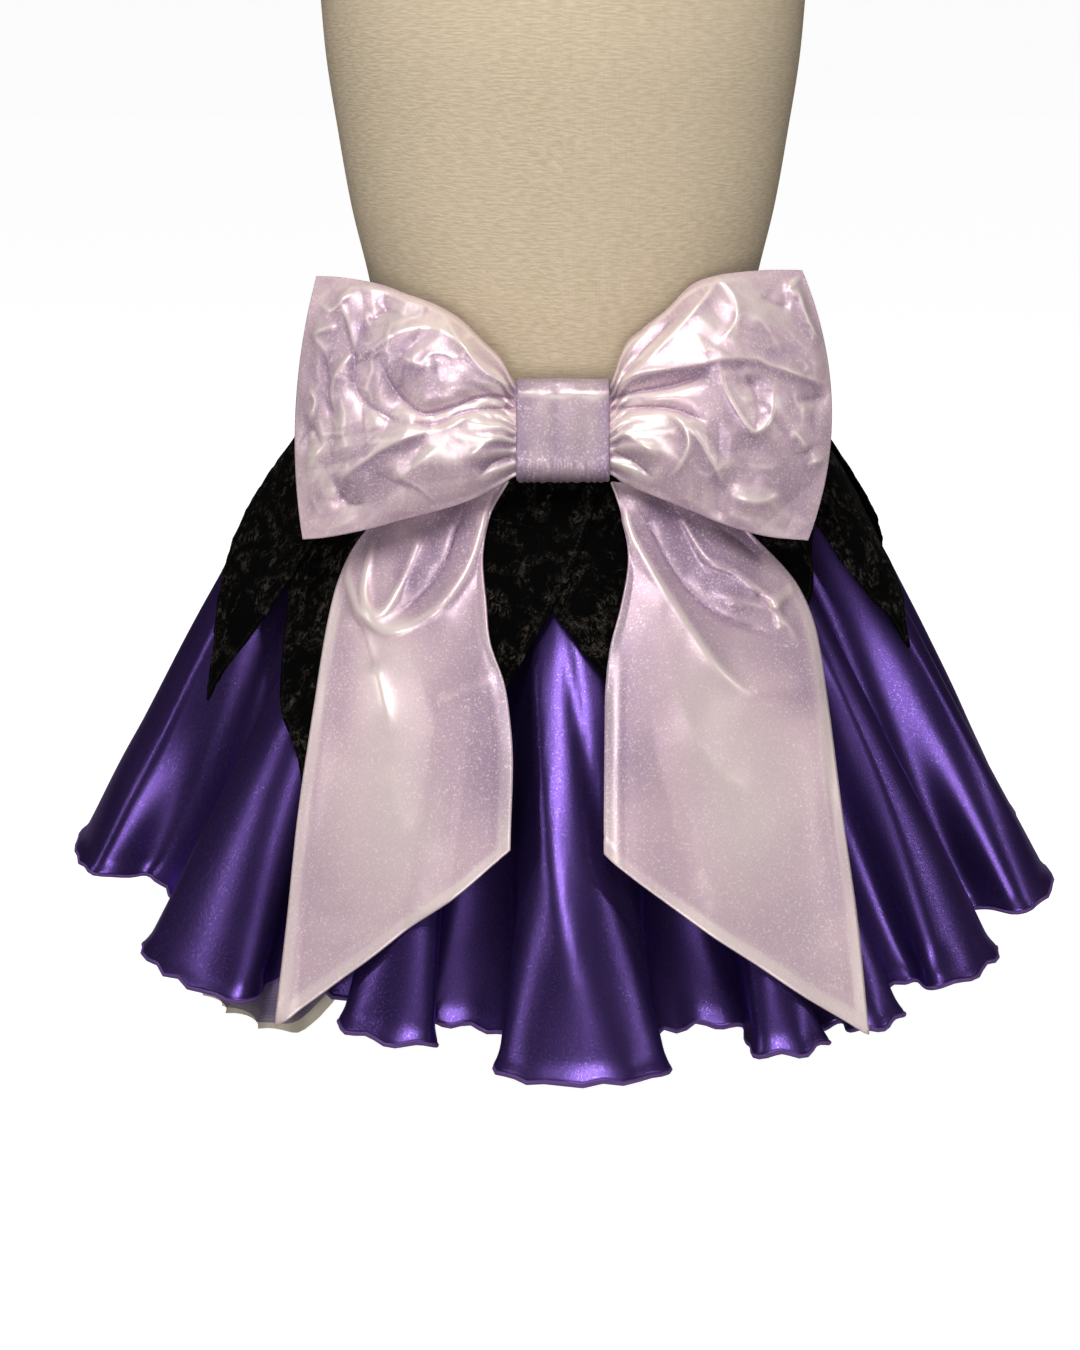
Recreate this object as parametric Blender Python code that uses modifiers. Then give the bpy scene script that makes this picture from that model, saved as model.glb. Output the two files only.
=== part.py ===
"""Satin tutu skirt with velvet petals, a net petticoat and a large bow, on a counter-top dress form.

Units are metres, +Z is up and the bow faces -Y. The origin is the centre of the stand's underside.
Cloth is laid out by two values: the turn, which is the way a point of the skirt faces in degrees
from the bow (positive towards +X), and the share of the slant length from waist to hem.
"""

import math
from typing import NamedTuple

import bmesh
import bpy
import numpy as np

# Heights and the waist. The band lies on this ellipse, a hair outside the form.
WAIST_HEIGHT = 0.430
WAIST_HALF_WIDTH = 0.1220
WAIST_HALF_DEPTH = 0.0940
SEAM_GAP = 0.0003
TOUCH_GAP = 0.0007

# Cloth thicknesses as modelled
SATIN = 0.0015
VELVET = 0.0012
NET = 0.0010
BAND_CLOTH = 0.0020
BOW_SATIN = 0.0015
TAIL_CLOTH = 0.0020

BAND_TOP_DROP = 0.0070
BAND_BOTTOM_DROP = 0.0260
BAND_COLUMNS = 48

# Skirt folds
FOLD_COLUMNS = 10
SKIRT_SHARES = (0.0, 0.06, 0.14, 0.24, 0.38, 0.54, 0.70, 0.86, 1.0)
FOLD_GROWTH = 1.3
FOLD_LEAN = 0.075
SIDE_SEAM_FOLDS = (4.5, 12.5)
HEM_DIP_FRONT = 0.0120
HEM_DIP_BACK = 0.0060
CREST_LIFT = 0.0050
SLOPE_STEP = 0.01


class Level(NamedTuple):
    """A ring of the plain skirt: its share of the slant, how far out from the waist it is at the
    sides, how much less that is in front, where the bow presses it in, and its drop."""

    share: float
    spread: float
    press: float
    drop: float


SKIRT_PROFILE = (
    Level(0.00, 0.0031, 0.0000, 0.0263),
    Level(0.05, 0.0190, 0.0125, 0.0350),
    Level(0.13, 0.0410, 0.0275, 0.0520),
    Level(0.20, 0.0585, 0.0370, 0.0740),
    Level(0.30, 0.0810, 0.0370, 0.1060),
    Level(0.48, 0.1190, 0.0240, 0.1700),
    Level(0.74, 0.1680, 0.0080, 0.2600),
    Level(1.00, 0.2150, 0.0000, 0.3500),
)
PRESS_FULL_TURN = 35.0
PRESS_END_TURN = 82.0
PRESS_BEHIND = 0.40


class Fold(NamedTuple):
    """One fold of the skirt: which way its crest and the valley after it face, and how far from the
    middle of the skirt each of them is at the hem."""

    crest: float
    crest_radius: float
    valley: float
    valley_radius: float


FOLDS = (
    Fold(1.5, 0.352, 13.5, 0.290),
    Fold(21.5, 0.342, 26.5, 0.312),
    Fold(31.5, 0.339, 37.5, 0.296),
    Fold(47.0, 0.334, 58.5, 0.284),
    Fold(70.5, 0.340, 84.0, 0.284),
    Fold(98.0, 0.328, 110.0, 0.284),
    Fold(121.0, 0.338, 131.0, 0.284),
    Fold(143.0, 0.332, 154.0, 0.288),
    Fold(166.0, 0.340, 176.0, 0.284),
    Fold(189.0, 0.334, 200.0, 0.290),
    Fold(211.0, 0.341, 223.0, 0.284),
    Fold(236.0, 0.334, 246.0, 0.288),
    Fold(257.0, 0.336, 268.0, 0.290),
    Fold(281.0, 0.343, 299.0, 0.284),
    Fold(317.0, 0.333, 331.0, 0.284),
    Fold(340.0, 0.320, 348.0, 0.290),
)

# Petticoat
PETTICOAT_WAVES = 18
PETTICOAT_WAVE_COLUMNS = 4
PETTICOAT_WAVE_DEPTH = 0.018
PETTICOAT_DRIFT = 3.0
PETTICOAT_DRIFT_WAVES = 6.0
PETTICOAT_UNEVENNESS = 0.2
PETTICOAT_UNEVEN_WAVES = 4.5
PETTICOAT_SHARES = (0.0, 0.06, 0.14, 0.24, 0.46, 0.72, 1.0)
PETTICOAT_INSET = 0.0060
PETTICOAT_EASE = 0.0025
PETTICOAT_EASE_SHARE = 0.3
PETTICOAT_SHORTER = 0.012
PETTICOAT_DIP = 0.055
PETTICOAT_DIP_TURN = -41.0
PETTICOAT_DIP_WIDTH = 20.0


class Petal(NamedTuple):
    """A velvet petal: the turns of its middle at the waist and of its tip, how far down the slant
    the tip is, its half width and whether it lies over its neighbours (1) or under them (0)."""

    turn: float
    tip_turn: float
    tip_share: float
    half_width: float
    layer: int


PETALS = (
    Petal(-16.0, -11.0, 0.60, 0.044, 1),
    Petal(11.0, 8.0, 0.54, 0.046, 0),
    Petal(46.0, 36.0, 0.50, 0.062, 1),
    Petal(75.0, 61.0, 0.56, 0.048, 0),
    Petal(105.0, 112.0, 0.58, 0.050, 1),
    Petal(133.0, 136.0, 0.52, 0.054, 0),
    Petal(162.0, 164.0, 0.62, 0.056, 1),
    Petal(191.0, 188.0, 0.53, 0.054, 0),
    Petal(220.0, 222.0, 0.61, 0.056, 1),
    Petal(251.0, 256.0, 0.52, 0.054, 0),
    Petal(284.0, 300.0, 0.62, 0.050, 1),
    Petal(316.0, 328.0, 0.73, 0.066, 0),
)
PETAL_OUTLINE = ((0.0, 0.62), (0.2, 0.85), (0.4, 1.0), (0.6, 0.90), (0.8, 0.52), (1.0, 0.04))
PETAL_COLUMNS = 6
PETAL_TOP_SHARE = 0.004
PETAL_ROW_GAP = 0.03
PETAL_EASE_SHARE = 0.15
PETAL_FOLLOW = 0.12
PETAL_CLEARANCE = 0.0030
PETAL_LAYER_STEP = 0.0018
PETAL_LAYER_SPREAD = 0.0008


class FormRing(NamedTuple):
    """A ring of the dress form: height from the waist, half width, half depth and shift along Y."""

    height: float
    half_width: float
    half_depth: float
    shift: float


FORM_RINGS = (
    FormRing(-0.280, 0.1560, 0.1120, 0.000),
    FormRing(-0.274, 0.1600, 0.1155, 0.000),
    FormRing(-0.240, 0.1640, 0.1190, 0.000),
    FormRing(-0.190, 0.1640, 0.1200, 0.000),
    FormRing(-0.140, 0.1550, 0.1145, 0.000),
    FormRing(-0.090, 0.1400, 0.1055, 0.000),
    FormRing(-0.055, 0.1275, 0.0975, 0.000),
    FormRing(-0.028, 0.1215, 0.0935, 0.000),
    FormRing(0.000, 0.1213, 0.0933, 0.000),
    FormRing(0.040, 0.1270, 0.0960, 0.001),
    FormRing(0.090, 0.1380, 0.1010, 0.003),
    FormRing(0.140, 0.1460, 0.1085, 0.007),
    FormRing(0.180, 0.1515, 0.1130, 0.009),
    FormRing(0.230, 0.1545, 0.1080, 0.006),
    FormRing(0.280, 0.1580, 0.0985, 0.002),
    FormRing(0.325, 0.1630, 0.0890, -0.002),
    FormRing(0.352, 0.1640, 0.0820, -0.004),
    FormRing(0.372, 0.1560, 0.0755, -0.006),
    FormRing(0.388, 0.1370, 0.0690, -0.007),
    FormRing(0.402, 0.1080, 0.0625, -0.007),
    FormRing(0.415, 0.0810, 0.0570, -0.006),
    FormRing(0.428, 0.0640, 0.0535, -0.004),
    FormRing(0.445, 0.0560, 0.0515, -0.002),
    FormRing(0.478, 0.0540, 0.0510, 0.000),
)
FORM_COLUMNS = 32

# Stand. The cap's and the knob's outlines are shares of their radius and height, from the top down.
BASE_RADIUS = 0.150
BASE_THICKNESS = 0.014
BASE_EDGE = 0.004
BOSS_RADIUS = 0.026
BOSS_HEIGHT = 0.030
POLE_RADIUS = 0.0125
FLANGE_RADIUS = 0.045
FLANGE_THICKNESS = 0.004
FLANGE_DEPTH = 0.012
CAP_RADIUS = 0.0520
CAP_THICKNESS = 0.012
CAP_OUTLINE = ((0.55, 1.00), (0.94, 0.65), (1.00, 0.30), (0.97, 0.00))
KNOB_RADIUS = 0.013
KNOB_HEIGHT = 0.026
KNOB_OUTLINE = ((0.00, 1.00), (0.70, 0.96), (1.00, 0.68), (0.75, 0.34), (0.55, 0.14))
TURNED_STEPS = 28

# Bow: its own plane leans back at the top, and heights and depths in it are from the knot's middle
BOW_LEAN = 20.0
BOW_FORWARD = 0.1291
BOW_DROP = 0.0340
KNOT_HALF_WIDTH = 0.0283
KNOT_HALF_HEIGHT = 0.0312
KNOT_HALF_DEPTH = 0.0160
KNOT_COLUMNS = 28
KNOT_SQUARENESS = 0.55
LOOP_POINTS = 12
LOOP_EDGE = 0.0024
LOOP_FULLNESS = 2.2
LOOP_BACK_PUFF = 0.6
LOOP_SWEEP = 0.020
LOOP_SWEEP_SPAN = 0.138
PLEAT_START_RATE = 6.0


class LoopSection(NamedTuple):
    """A section across a bow loop, from the knot's middle: how far out its middle and its top and
    bottom corners are, the heights of those corners, and how far its front puffs out."""

    middle: float
    top_out: float
    bottom_out: float
    top: float
    bottom: float
    puff: float


LEFT_LOOP = (
    LoopSection(0.0205, 0.0205, 0.0205, 0.0285, -0.0285, 0.0138),
    LoopSection(0.0285, 0.0285, 0.0285, 0.0288, -0.0280, 0.0140),
    LoopSection(0.0370, 0.0365, 0.0370, 0.0425, -0.0330, 0.0180),
    LoopSection(0.0500, 0.0490, 0.0500, 0.0555, -0.0400, 0.0215),
    LoopSection(0.0650, 0.0630, 0.0645, 0.0690, -0.0455, 0.0235),
    LoopSection(0.0820, 0.0790, 0.0810, 0.0785, -0.0500, 0.0240),
    LoopSection(0.1000, 0.0955, 0.0985, 0.0850, -0.0542, 0.0230),
    LoopSection(0.1180, 0.1120, 0.1155, 0.0915, -0.0585, 0.0205),
    LoopSection(0.1360, 0.1280, 0.1330, 0.0955, -0.0620, 0.0160),
    LoopSection(0.1530, 0.1425, 0.1490, 0.0980, -0.0642, 0.0095),
    LoopSection(0.1660, 0.1530, 0.1610, 0.0990, -0.0648, 0.0024),
)
RIGHT_LOOP = (
    LoopSection(0.0205, 0.0205, 0.0205, 0.0285, -0.0285, 0.0138),
    LoopSection(0.0285, 0.0285, 0.0285, 0.0288, -0.0270, 0.0140),
    LoopSection(0.0370, 0.0365, 0.0365, 0.0500, -0.0320, 0.0180),
    LoopSection(0.0500, 0.0490, 0.0490, 0.0630, -0.0375, 0.0215),
    LoopSection(0.0650, 0.0630, 0.0630, 0.0745, -0.0430, 0.0235),
    LoopSection(0.0820, 0.0785, 0.0785, 0.0900, -0.0490, 0.0240),
    LoopSection(0.1000, 0.0945, 0.0945, 0.0965, -0.0555, 0.0230),
    LoopSection(0.1180, 0.1105, 0.1105, 0.0994, -0.0605, 0.0205),
    LoopSection(0.1360, 0.1255, 0.1265, 0.1012, -0.0640, 0.0160),
    LoopSection(0.1530, 0.1385, 0.1405, 0.1020, -0.0652, 0.0095),
    LoopSection(0.1670, 0.1484, 0.1514, 0.1024, -0.0657, 0.0024),
)


class Pleat(NamedTuple):
    """A fold in a loop that starts at the knot: its height across the section there and at its far
    end (-1 bottom, 1 top), how far out it fades, its depth and its width across the section."""

    start: float
    end: float
    reach: float
    depth: float
    width: float


LEFT_PLEATS = (
    Pleat(0.10, -0.10, 0.120, -0.0110, 0.20),
    Pleat(0.45, 0.30, 0.105, -0.0080, 0.17),
    Pleat(-0.45, -0.70, 0.090, -0.0050, 0.18),
)
RIGHT_PLEATS = (
    Pleat(0.00, 0.08, 0.120, -0.0110, 0.19),
    Pleat(0.42, 0.45, 0.110, -0.0080, 0.17),
    Pleat(-0.40, -0.30, 0.090, -0.0060, 0.18),
)


class TailRow(NamedTuple):
    """A row down a bow tail: its drop from the waist and where its inner and outer edges are on X."""

    drop: float
    inner: float
    outer: float


LEFT_TAIL = (
    TailRow(0.0668, 0.0120, 0.0650),
    TailRow(0.085, 0.0440, 0.1050),
    TailRow(0.106, 0.0485, 0.1270),
    TailRow(0.131, 0.0460, 0.1405),
    TailRow(0.151, 0.0430, 0.1455),
    TailRow(0.170, 0.0345, 0.1485),
    TailRow(0.190, 0.0305, 0.1510),
    TailRow(0.250, 0.0300, 0.1590),
    TailRow(0.308, 0.0300, 0.1640),
    TailRow(0.360, 0.0300, 0.1690),
)
RIGHT_TAIL = (
    TailRow(0.0668, 0.0120, 0.0650),
    TailRow(0.085, 0.0360, 0.1000),
    TailRow(0.106, 0.0395, 0.1215),
    TailRow(0.131, 0.0345, 0.1450),
    TailRow(0.151, 0.0280, 0.1550),
    TailRow(0.170, 0.0252, 0.1590),
    TailRow(0.190, 0.0245, 0.1610),
    TailRow(0.250, 0.0235, 0.1670),
    TailRow(0.300, 0.0235, 0.1730),
    TailRow(0.355, 0.0235, 0.1765),
)
TAIL_CORNER_DROP = 0.250
TAIL_ROWS = 12
TAIL_COLUMNS = 9
TAIL_CROWDING = 1.3
TAIL_CLEARANCE = 0.0096
TAIL_HEM_CLEARANCE = 0.0006
TAIL_SETTLE_START = 0.200
TAIL_SETTLE_END = 0.300
TAIL_PLEATS = 2.0
TAIL_PLEAT_DEPTH = 0.0030
TAIL_PLEAT_FADE = 0.060

# How the place of a hanging cloth's point over the crests is found from its front view
DRAPE_SAMPLES = 101
DRAPE_FIRST_RADIUS = 0.22
DRAPE_TURN_RADIUS = 0.30
DRAPE_WIDEST_TURN = 85.0
DRAPE_FALL_RATE = 0.8
DRAPE_STEPS = 30


class Finish(NamedTuple):
    """Colour, roughness and metallic of a surface."""

    colour: tuple
    roughness: float
    metallic: float


LINEN_COVER = Finish((0.72, 0.63, 0.48, 1.0), 0.85, 0.0)
PURPLE_SATIN = Finish((0.075, 0.022, 0.220, 1.0), 0.32, 0.4)
LILAC_SATIN = Finish((0.60, 0.47, 0.62, 1.0), 0.35, 0.2)
BLACK_VELVET = Finish((0.006, 0.005, 0.005, 1.0), 0.9, 0.0)
PURPLE_NET = Finish((0.22, 0.16, 0.32, 1.0), 0.7, 0.0)
DARK_WOOD = Finish((0.16, 0.10, 0.06, 1.0), 0.4, 0.0)
STEEL = Finish((0.45, 0.45, 0.46, 1.0), 0.25, 1.0)


def smooth_step(value):
    """0 at 0 and below, 1 at 1 and above, with an easy start and end."""
    value = np.clip(value, 0, 1)
    return value**2 * (3 - 2 * value)


def turn_away(turn, middle=0.0):
    """How many degrees a turn is to the +X side of a middle one, from -180 to 180."""
    return np.mod(np.asarray(turn) - middle + 180.0, 360.0) - 180.0


def curve_through(stops, values, at):
    """Reads a smooth curve through the values at the stops."""
    stops = np.asarray(stops, float)
    values = np.asarray(values, float)
    at = np.asarray(at, float)
    slopes = np.gradient(values, stops)
    span = np.clip(np.searchsorted(stops, at, side="right") - 1, 0, len(stops) - 2)
    width = stops[span + 1] - stops[span]
    t = (at - stops[span]) / width
    low = values[span] * (1 + 2 * t) * (1 - t) ** 2 + slopes[span] * width * t * (1 - t) ** 2
    high = values[span + 1] * t**2 * (3 - 2 * t) + slopes[span + 1] * width * t**2 * (t - 1)
    return low + high


def column(rows, name):
    """One named column of a table."""
    return [getattr(row, name) for row in rows]


def plain_profile(share):
    """Distance out from the waist, press and drop of the plain skirt at a share of its slant."""
    shares = column(SKIRT_PROFILE, "share")
    return tuple(
        curve_through(shares, column(SKIRT_PROFILE, name), share)
        for name in ("spread", "press", "drop")
    )


def waist_reach(turn):
    """How far the waist's ellipse reaches out towards a turn."""
    facing = np.radians(turn)
    return np.hypot(WAIST_HALF_WIDTH * np.sin(facing), WAIST_HALF_DEPTH * np.cos(facing))


def waist_point(turn, spread):
    """The point of the waist's ellipse that faces a turn, moved out by the spread."""
    facing = np.radians(turn)
    across, along = np.sin(facing), -np.cos(facing)
    reach = waist_reach(turn)
    x = across * (WAIST_HALF_WIDTH**2 / reach + spread)
    y = along * (WAIST_HALF_DEPTH**2 / reach + spread)
    return x, y


def press_weight(turn):
    """How much of the press a turn takes: all of it in front, none at the sides, some behind."""
    away = np.abs(turn_away(turn))
    span = PRESS_END_TURN - PRESS_FULL_TURN
    front = smooth_step((PRESS_END_TURN - away) / span)
    back = smooth_step((away - (180.0 - PRESS_END_TURN)) / span)
    return front + PRESS_BEHIND * back


def fold_table():
    """Places, turns and hem radii of the crests and valleys, three times round so they join up."""
    count = len(FOLDS)
    table = {"place": [], "turn": [], "crest_place": [], "crest": [], "valley_place": [], "valley": []}
    for lap in (-1, 0, 1):
        for index, fold in enumerate(FOLDS):
            place = lap * count + index
            table["place"] += [place, place + 0.5]
            table["turn"] += [lap * 360.0 + fold.crest, lap * 360.0 + fold.valley]
            table["crest_place"].append(place)
            table["crest"].append(fold.crest_radius)
            table["valley_place"].append(place + 0.5)
            table["valley"].append(fold.valley_radius)
    return table


ROUND = fold_table()


def turn_of(place):
    """The turn at a place in the count of folds: whole at a crest, half way on at a valley."""
    return curve_through(ROUND["place"], ROUND["turn"], place)


def place_of(turn):
    """The place in the count of folds that faces a turn."""
    return np.interp(turn, ROUND["turn"], ROUND["place"])


def crest_radius(place):
    """Hem radius of a line drawn over the crests."""
    return curve_through(ROUND["crest_place"], ROUND["crest"], place)


def valley_radius(place):
    """Hem radius of a line drawn along the valleys."""
    return curve_through(ROUND["valley_place"], ROUND["valley"], place)


def hem_dip(turn):
    """How much lower the hem hangs before and behind than at the sides."""
    facing = np.cos(np.radians(turn))
    return np.where(facing > 0, HEM_DIP_FRONT, HEM_DIP_BACK) * facing**2


def hanging_points(turn, share, hem_radius, lower=0.0, out=0.0):
    """Points of a cloth that hangs from the waist to a hem of the given radius.

    lower is how far the hem drops below the plain one, and out moves the points off the surface,
    square to its slope.
    """
    press = press_weight(turn)
    spread, pressed, drop = plain_profile(share)
    growth = share**FOLD_GROWTH
    widening = hem_radius - waist_reach(turn) - SKIRT_PROFILE[-1].spread
    next_share = np.minimum(share + SLOPE_STEP, 1)
    last_share = np.maximum(share - SLOPE_STEP, 0)
    ahead, pressed_ahead, below = plain_profile(next_share)
    behind, pressed_behind, above = plain_profile(last_share)
    run = ahead - behind - press * (pressed_ahead - pressed_behind)
    run = run + widening * (next_share**FOLD_GROWTH - last_share**FOLD_GROWTH)
    fall = below - above
    length = np.hypot(run, fall)
    spread = spread - press * pressed + growth * widening + out * fall / length
    drop = drop + growth * (hem_dip(turn) + lower) - out * run / length
    x, y = waist_point(turn, spread)
    return np.stack([x, y, WAIST_HEIGHT - drop], axis=-1)


def skirt_points(place, share, follow=1.0, out=0.0):
    """Points of the skirt's outer face at a place in the count of folds and a share of the slant.

    follow is how much of the folds' depth is kept, and out moves the points off the face.
    """
    place, share = np.broadcast_arrays(np.asarray(place, float), np.asarray(share, float))
    wave = 0.5 - 0.5 * np.cos(2 * np.pi * place)
    radius = crest_radius(place) - follow * wave * (crest_radius(place) - valley_radius(place))
    pitch = turn_of(place + 0.5) - turn_of(place - 0.5)
    lean = follow * FOLD_LEAN * pitch * np.sin(4 * np.pi * place) * share**FOLD_GROWTH
    lift = CREST_LIFT * (2 * follow * wave - 1)
    return hanging_points(turn_of(place) + lean, share, radius, lift, out)


def petticoat_points(wave, share):
    """Points of the petticoat's outer face, where wave counts its small folds."""
    drift = PETTICOAT_DRIFT * np.sin(2 * np.pi * wave / PETTICOAT_DRIFT_WAVES)
    turn = 360.0 * wave / PETTICOAT_WAVES + drift
    ripple = 0.5 - 0.5 * np.cos(2 * np.pi * wave)
    uneven = PETTICOAT_UNEVENNESS * np.sin(2 * np.pi * wave / PETTICOAT_UNEVEN_WAVES)
    depth = PETTICOAT_WAVE_DEPTH * (1 - PETTICOAT_UNEVENNESS + uneven)
    radius = valley_radius(place_of(turn)) - PETTICOAT_INSET - depth * ripple
    away = turn_away(turn, PETTICOAT_DIP_TURN) / PETTICOAT_DIP_WIDTH
    lower = PETTICOAT_DIP * np.exp(-(away**2)) - PETTICOAT_SHORTER
    ease = PETTICOAT_EASE * np.clip(share / PETTICOAT_EASE_SHARE, 0, 1)
    inward = -(SATIN + SEAM_GAP) - ease
    return hanging_points(turn, share, radius, lower, inward)


def petal_points(petal):
    """The inner face of a petal: rows of the skirt's own points moved out, within its outline."""
    lowest = petal.tip_share - PETAL_ROW_GAP
    between = [share for share in SKIRT_SHARES if PETAL_ROW_GAP < share < lowest]
    share = np.array([PETAL_TOP_SHARE] + between + [petal.tip_share])[:, None]
    down = share / petal.tip_share
    across = np.linspace(-1, 1, PETAL_COLUMNS + 1)[None, :]
    widths = curve_through([r[0] for r in PETAL_OUTLINE], [r[1] for r in PETAL_OUTLINE], down)
    middle = petal.turn + (petal.tip_turn - petal.turn) * down
    spread, pressed, _ = plain_profile(share)
    radius = spread - press_weight(middle) * pressed + waist_reach(middle)
    turn = middle + np.degrees(across * petal.half_width * widths / radius)
    away = np.clip(share / PETAL_EASE_SHARE, 0, 1)
    out = TOUCH_GAP + PETAL_CLEARANCE * away
    out = out + petal.layer * (PETAL_LAYER_STEP + PETAL_LAYER_SPREAD * away)
    return skirt_points(place_of(turn), share, PETAL_FOLLOW, out)


def shell(name, grid, thickness, finish, outward=False, closed=False, capped=False):
    """A cloth wall: a sheet lofted through rows of points, made thick by Solidify."""
    rows, columns = grid.shape[:2]
    mesh = bpy.data.meshes.new(name)
    bm = bmesh.new()
    points = [[bm.verts.new(p) for p in row] for row in grid]
    for r in range(rows - 1):
        for c in range(columns if closed else columns - 1):
            d = (c + 1) % columns
            bm.faces.new((points[r][c], points[r + 1][c], points[r + 1][d], points[r][d]))
    if capped:
        last = points[-1]
        half = columns // 2
        for c in range(half - 1):
            bm.faces.new((last[c + 1], last[c], last[-1 - c], last[-2 - c]))
    bm.normal_update()
    bm.to_mesh(mesh)
    bm.free()
    mesh.shade_smooth()
    piece = add_object(name, mesh, finish)
    solidify = piece.modifiers.new("thickness", "SOLIDIFY")
    solidify.thickness = thickness
    solidify.offset = 1.0 if outward else -1.0
    return piece


def add_object(name, mesh, finish):
    """Links a mesh into the model's collection with a material of its own."""
    material = bpy.data.materials.new(name)
    material.use_nodes = True
    shader = material.node_tree.nodes["Principled BSDF"]
    shader.inputs["Base Color"].default_value = finish.colour
    shader.inputs["Roughness"].default_value = finish.roughness
    shader.inputs["Metallic"].default_value = finish.metallic
    mesh.materials.append(material)
    piece = bpy.data.objects.new(name, mesh)
    model_collection().objects.link(piece)
    return piece


def model_collection():
    """The collection that holds every piece."""
    found = bpy.data.collections.get("tutu_on_dress_form")
    if found is None:
        found = bpy.data.collections.new("tutu_on_dress_form")
        bpy.context.scene.collection.children.link(found)
    return found


def turned(name, outline, finish):
    """A turned solid: an outline of (radius, height) from top to bottom, spun by a Screw."""
    mesh = bpy.data.meshes.new(name)
    points = [(radius, 0.0, height) for radius, height in outline]
    mesh.from_pydata(points, [(i, i + 1) for i in range(len(points) - 1)], [])
    piece = add_object(name, mesh, finish)
    screw = piece.modifiers.new("turning", "SCREW")
    screw.steps = TURNED_STEPS
    screw.render_steps = TURNED_STEPS
    screw.use_merge_vertices = True
    screw.merge_threshold = 0.00001
    return piece


def make_dress_form():
    """The torso, a loft through its rings, closed at the neck and under the hips."""
    angles = np.linspace(0, 2 * np.pi, FORM_COLUMNS, endpoint=False)
    mesh = bpy.data.meshes.new("dress_form")
    bm = bmesh.new()
    rings = []
    for ring in reversed(FORM_RINGS):
        x = ring.half_width * np.sin(angles)
        y = ring.shift - ring.half_depth * np.cos(angles)
        z = WAIST_HEIGHT + ring.height + 0 * angles
        rings.append([bm.verts.new(point) for point in zip(x, y, z)])
    for upper, lower in zip(rings, rings[1:]):
        for c in range(FORM_COLUMNS):
            d = (c + 1) % FORM_COLUMNS
            bm.faces.new((upper[c], lower[c], lower[d], upper[d]))
    bm.faces.new(rings[0])
    bm.faces.new(reversed(rings[-1]))
    bm.to_mesh(mesh)
    bm.free()
    mesh.shade_smooth()
    add_object("dress_form", mesh, LINEN_COVER)


def make_stand():
    """Round base and the pole on it, with its flange under the torso."""
    rounding = BASE_EDGE / 2
    turned(
        "stand_base",
        (
            (0.0, BOSS_HEIGHT),
            (BOSS_RADIUS - BASE_EDGE, BOSS_HEIGHT),
            (BOSS_RADIUS, BOSS_HEIGHT - BASE_EDGE),
            (BOSS_RADIUS, BASE_THICKNESS),
            (BASE_RADIUS - BASE_EDGE, BASE_THICKNESS - rounding),
            (BASE_RADIUS, BASE_THICKNESS - BASE_EDGE),
            (BASE_RADIUS, 0.0),
            (0.0, 0.0),
        ),
        DARK_WOOD,
    )
    pole_top = WAIST_HEIGHT + FORM_RINGS[0].height - SEAM_GAP
    pole_foot = BOSS_HEIGHT + SEAM_GAP
    turned(
        "stand_pole",
        (
            (0.0, pole_top),
            (FLANGE_RADIUS, pole_top),
            (FLANGE_RADIUS, pole_top - FLANGE_THICKNESS),
            (POLE_RADIUS, pole_top - FLANGE_DEPTH),
            (POLE_RADIUS, pole_foot),
            (0.0, pole_foot),
        ),
        STEEL,
    )


def make_neck_cap():
    """The cap that closes the neck, with its knob."""
    foot = WAIST_HEIGHT + FORM_RINGS[-1].height + SEAM_GAP
    top = foot + CAP_THICKNESS
    knob = [(KNOB_RADIUS * across, top + KNOB_HEIGHT * up) for across, up in KNOB_OUTLINE]
    cap = [(CAP_RADIUS * across, foot + CAP_THICKNESS * up) for across, up in CAP_OUTLINE]
    turned("neck_cap", knob + cap + [(0.0, foot)], DARK_WOOD)


def make_waistband():
    """The band round the waist, worked out from the waist's ellipse."""
    turn = np.linspace(0, 360, BAND_COLUMNS, endpoint=False)
    x, y = waist_point(turn, SEAM_GAP + BAND_CLOTH)
    rows = []
    for drop in (BAND_TOP_DROP, BAND_BOTTOM_DROP):
        z = WAIST_HEIGHT - drop + 0 * x
        rows.append(np.stack([x, y, z], axis=-1))
    shell("waistband", np.array(rows), BAND_CLOTH, BLACK_VELVET, closed=True)


def make_skirt():
    """Two half-circle panels, front and back, that meet 0.3 mm apart at the side seams."""
    first, second = SIDE_SEAM_FOLDS
    panels = (
        ("skirt_front", second - len(FOLDS), first),
        ("skirt_back", first, second),
    )
    shares = np.array(SKIRT_SHARES)[:, None]
    for name, start, end in panels:
        steps = round((end - start) * FOLD_COLUMNS)
        places = np.linspace(start, end, steps + 1)[None, :]
        grid = skirt_points(places, shares)
        for edge, inner in ((0, 1), (-1, -2)):
            inward = grid[:, inner] - grid[:, edge]
            inward /= np.linalg.norm(inward, axis=1)[:, None]
            grid[:, edge] += inward * SEAM_GAP / 2
        shell(name, grid, SATIN, PURPLE_SATIN)


def make_petticoat():
    """The net layer under the satin, a closed ring of small waves."""
    columns = PETTICOAT_WAVES * PETTICOAT_WAVE_COLUMNS
    wave = (np.arange(columns) / PETTICOAT_WAVE_COLUMNS)[None, :]
    share = np.array(PETTICOAT_SHARES)[:, None]
    grid = petticoat_points(wave + 0 * share, share + 0 * wave)
    shell("petticoat", grid, NET, PURPLE_NET, closed=True)


def make_petals():
    """The velvet petals round the waist, every other one over its neighbours."""
    for number, petal in enumerate(PETALS, 1):
        shell(f"petal_{number:02d}", petal_points(petal), VELVET, BLACK_VELVET, outward=True)


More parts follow.
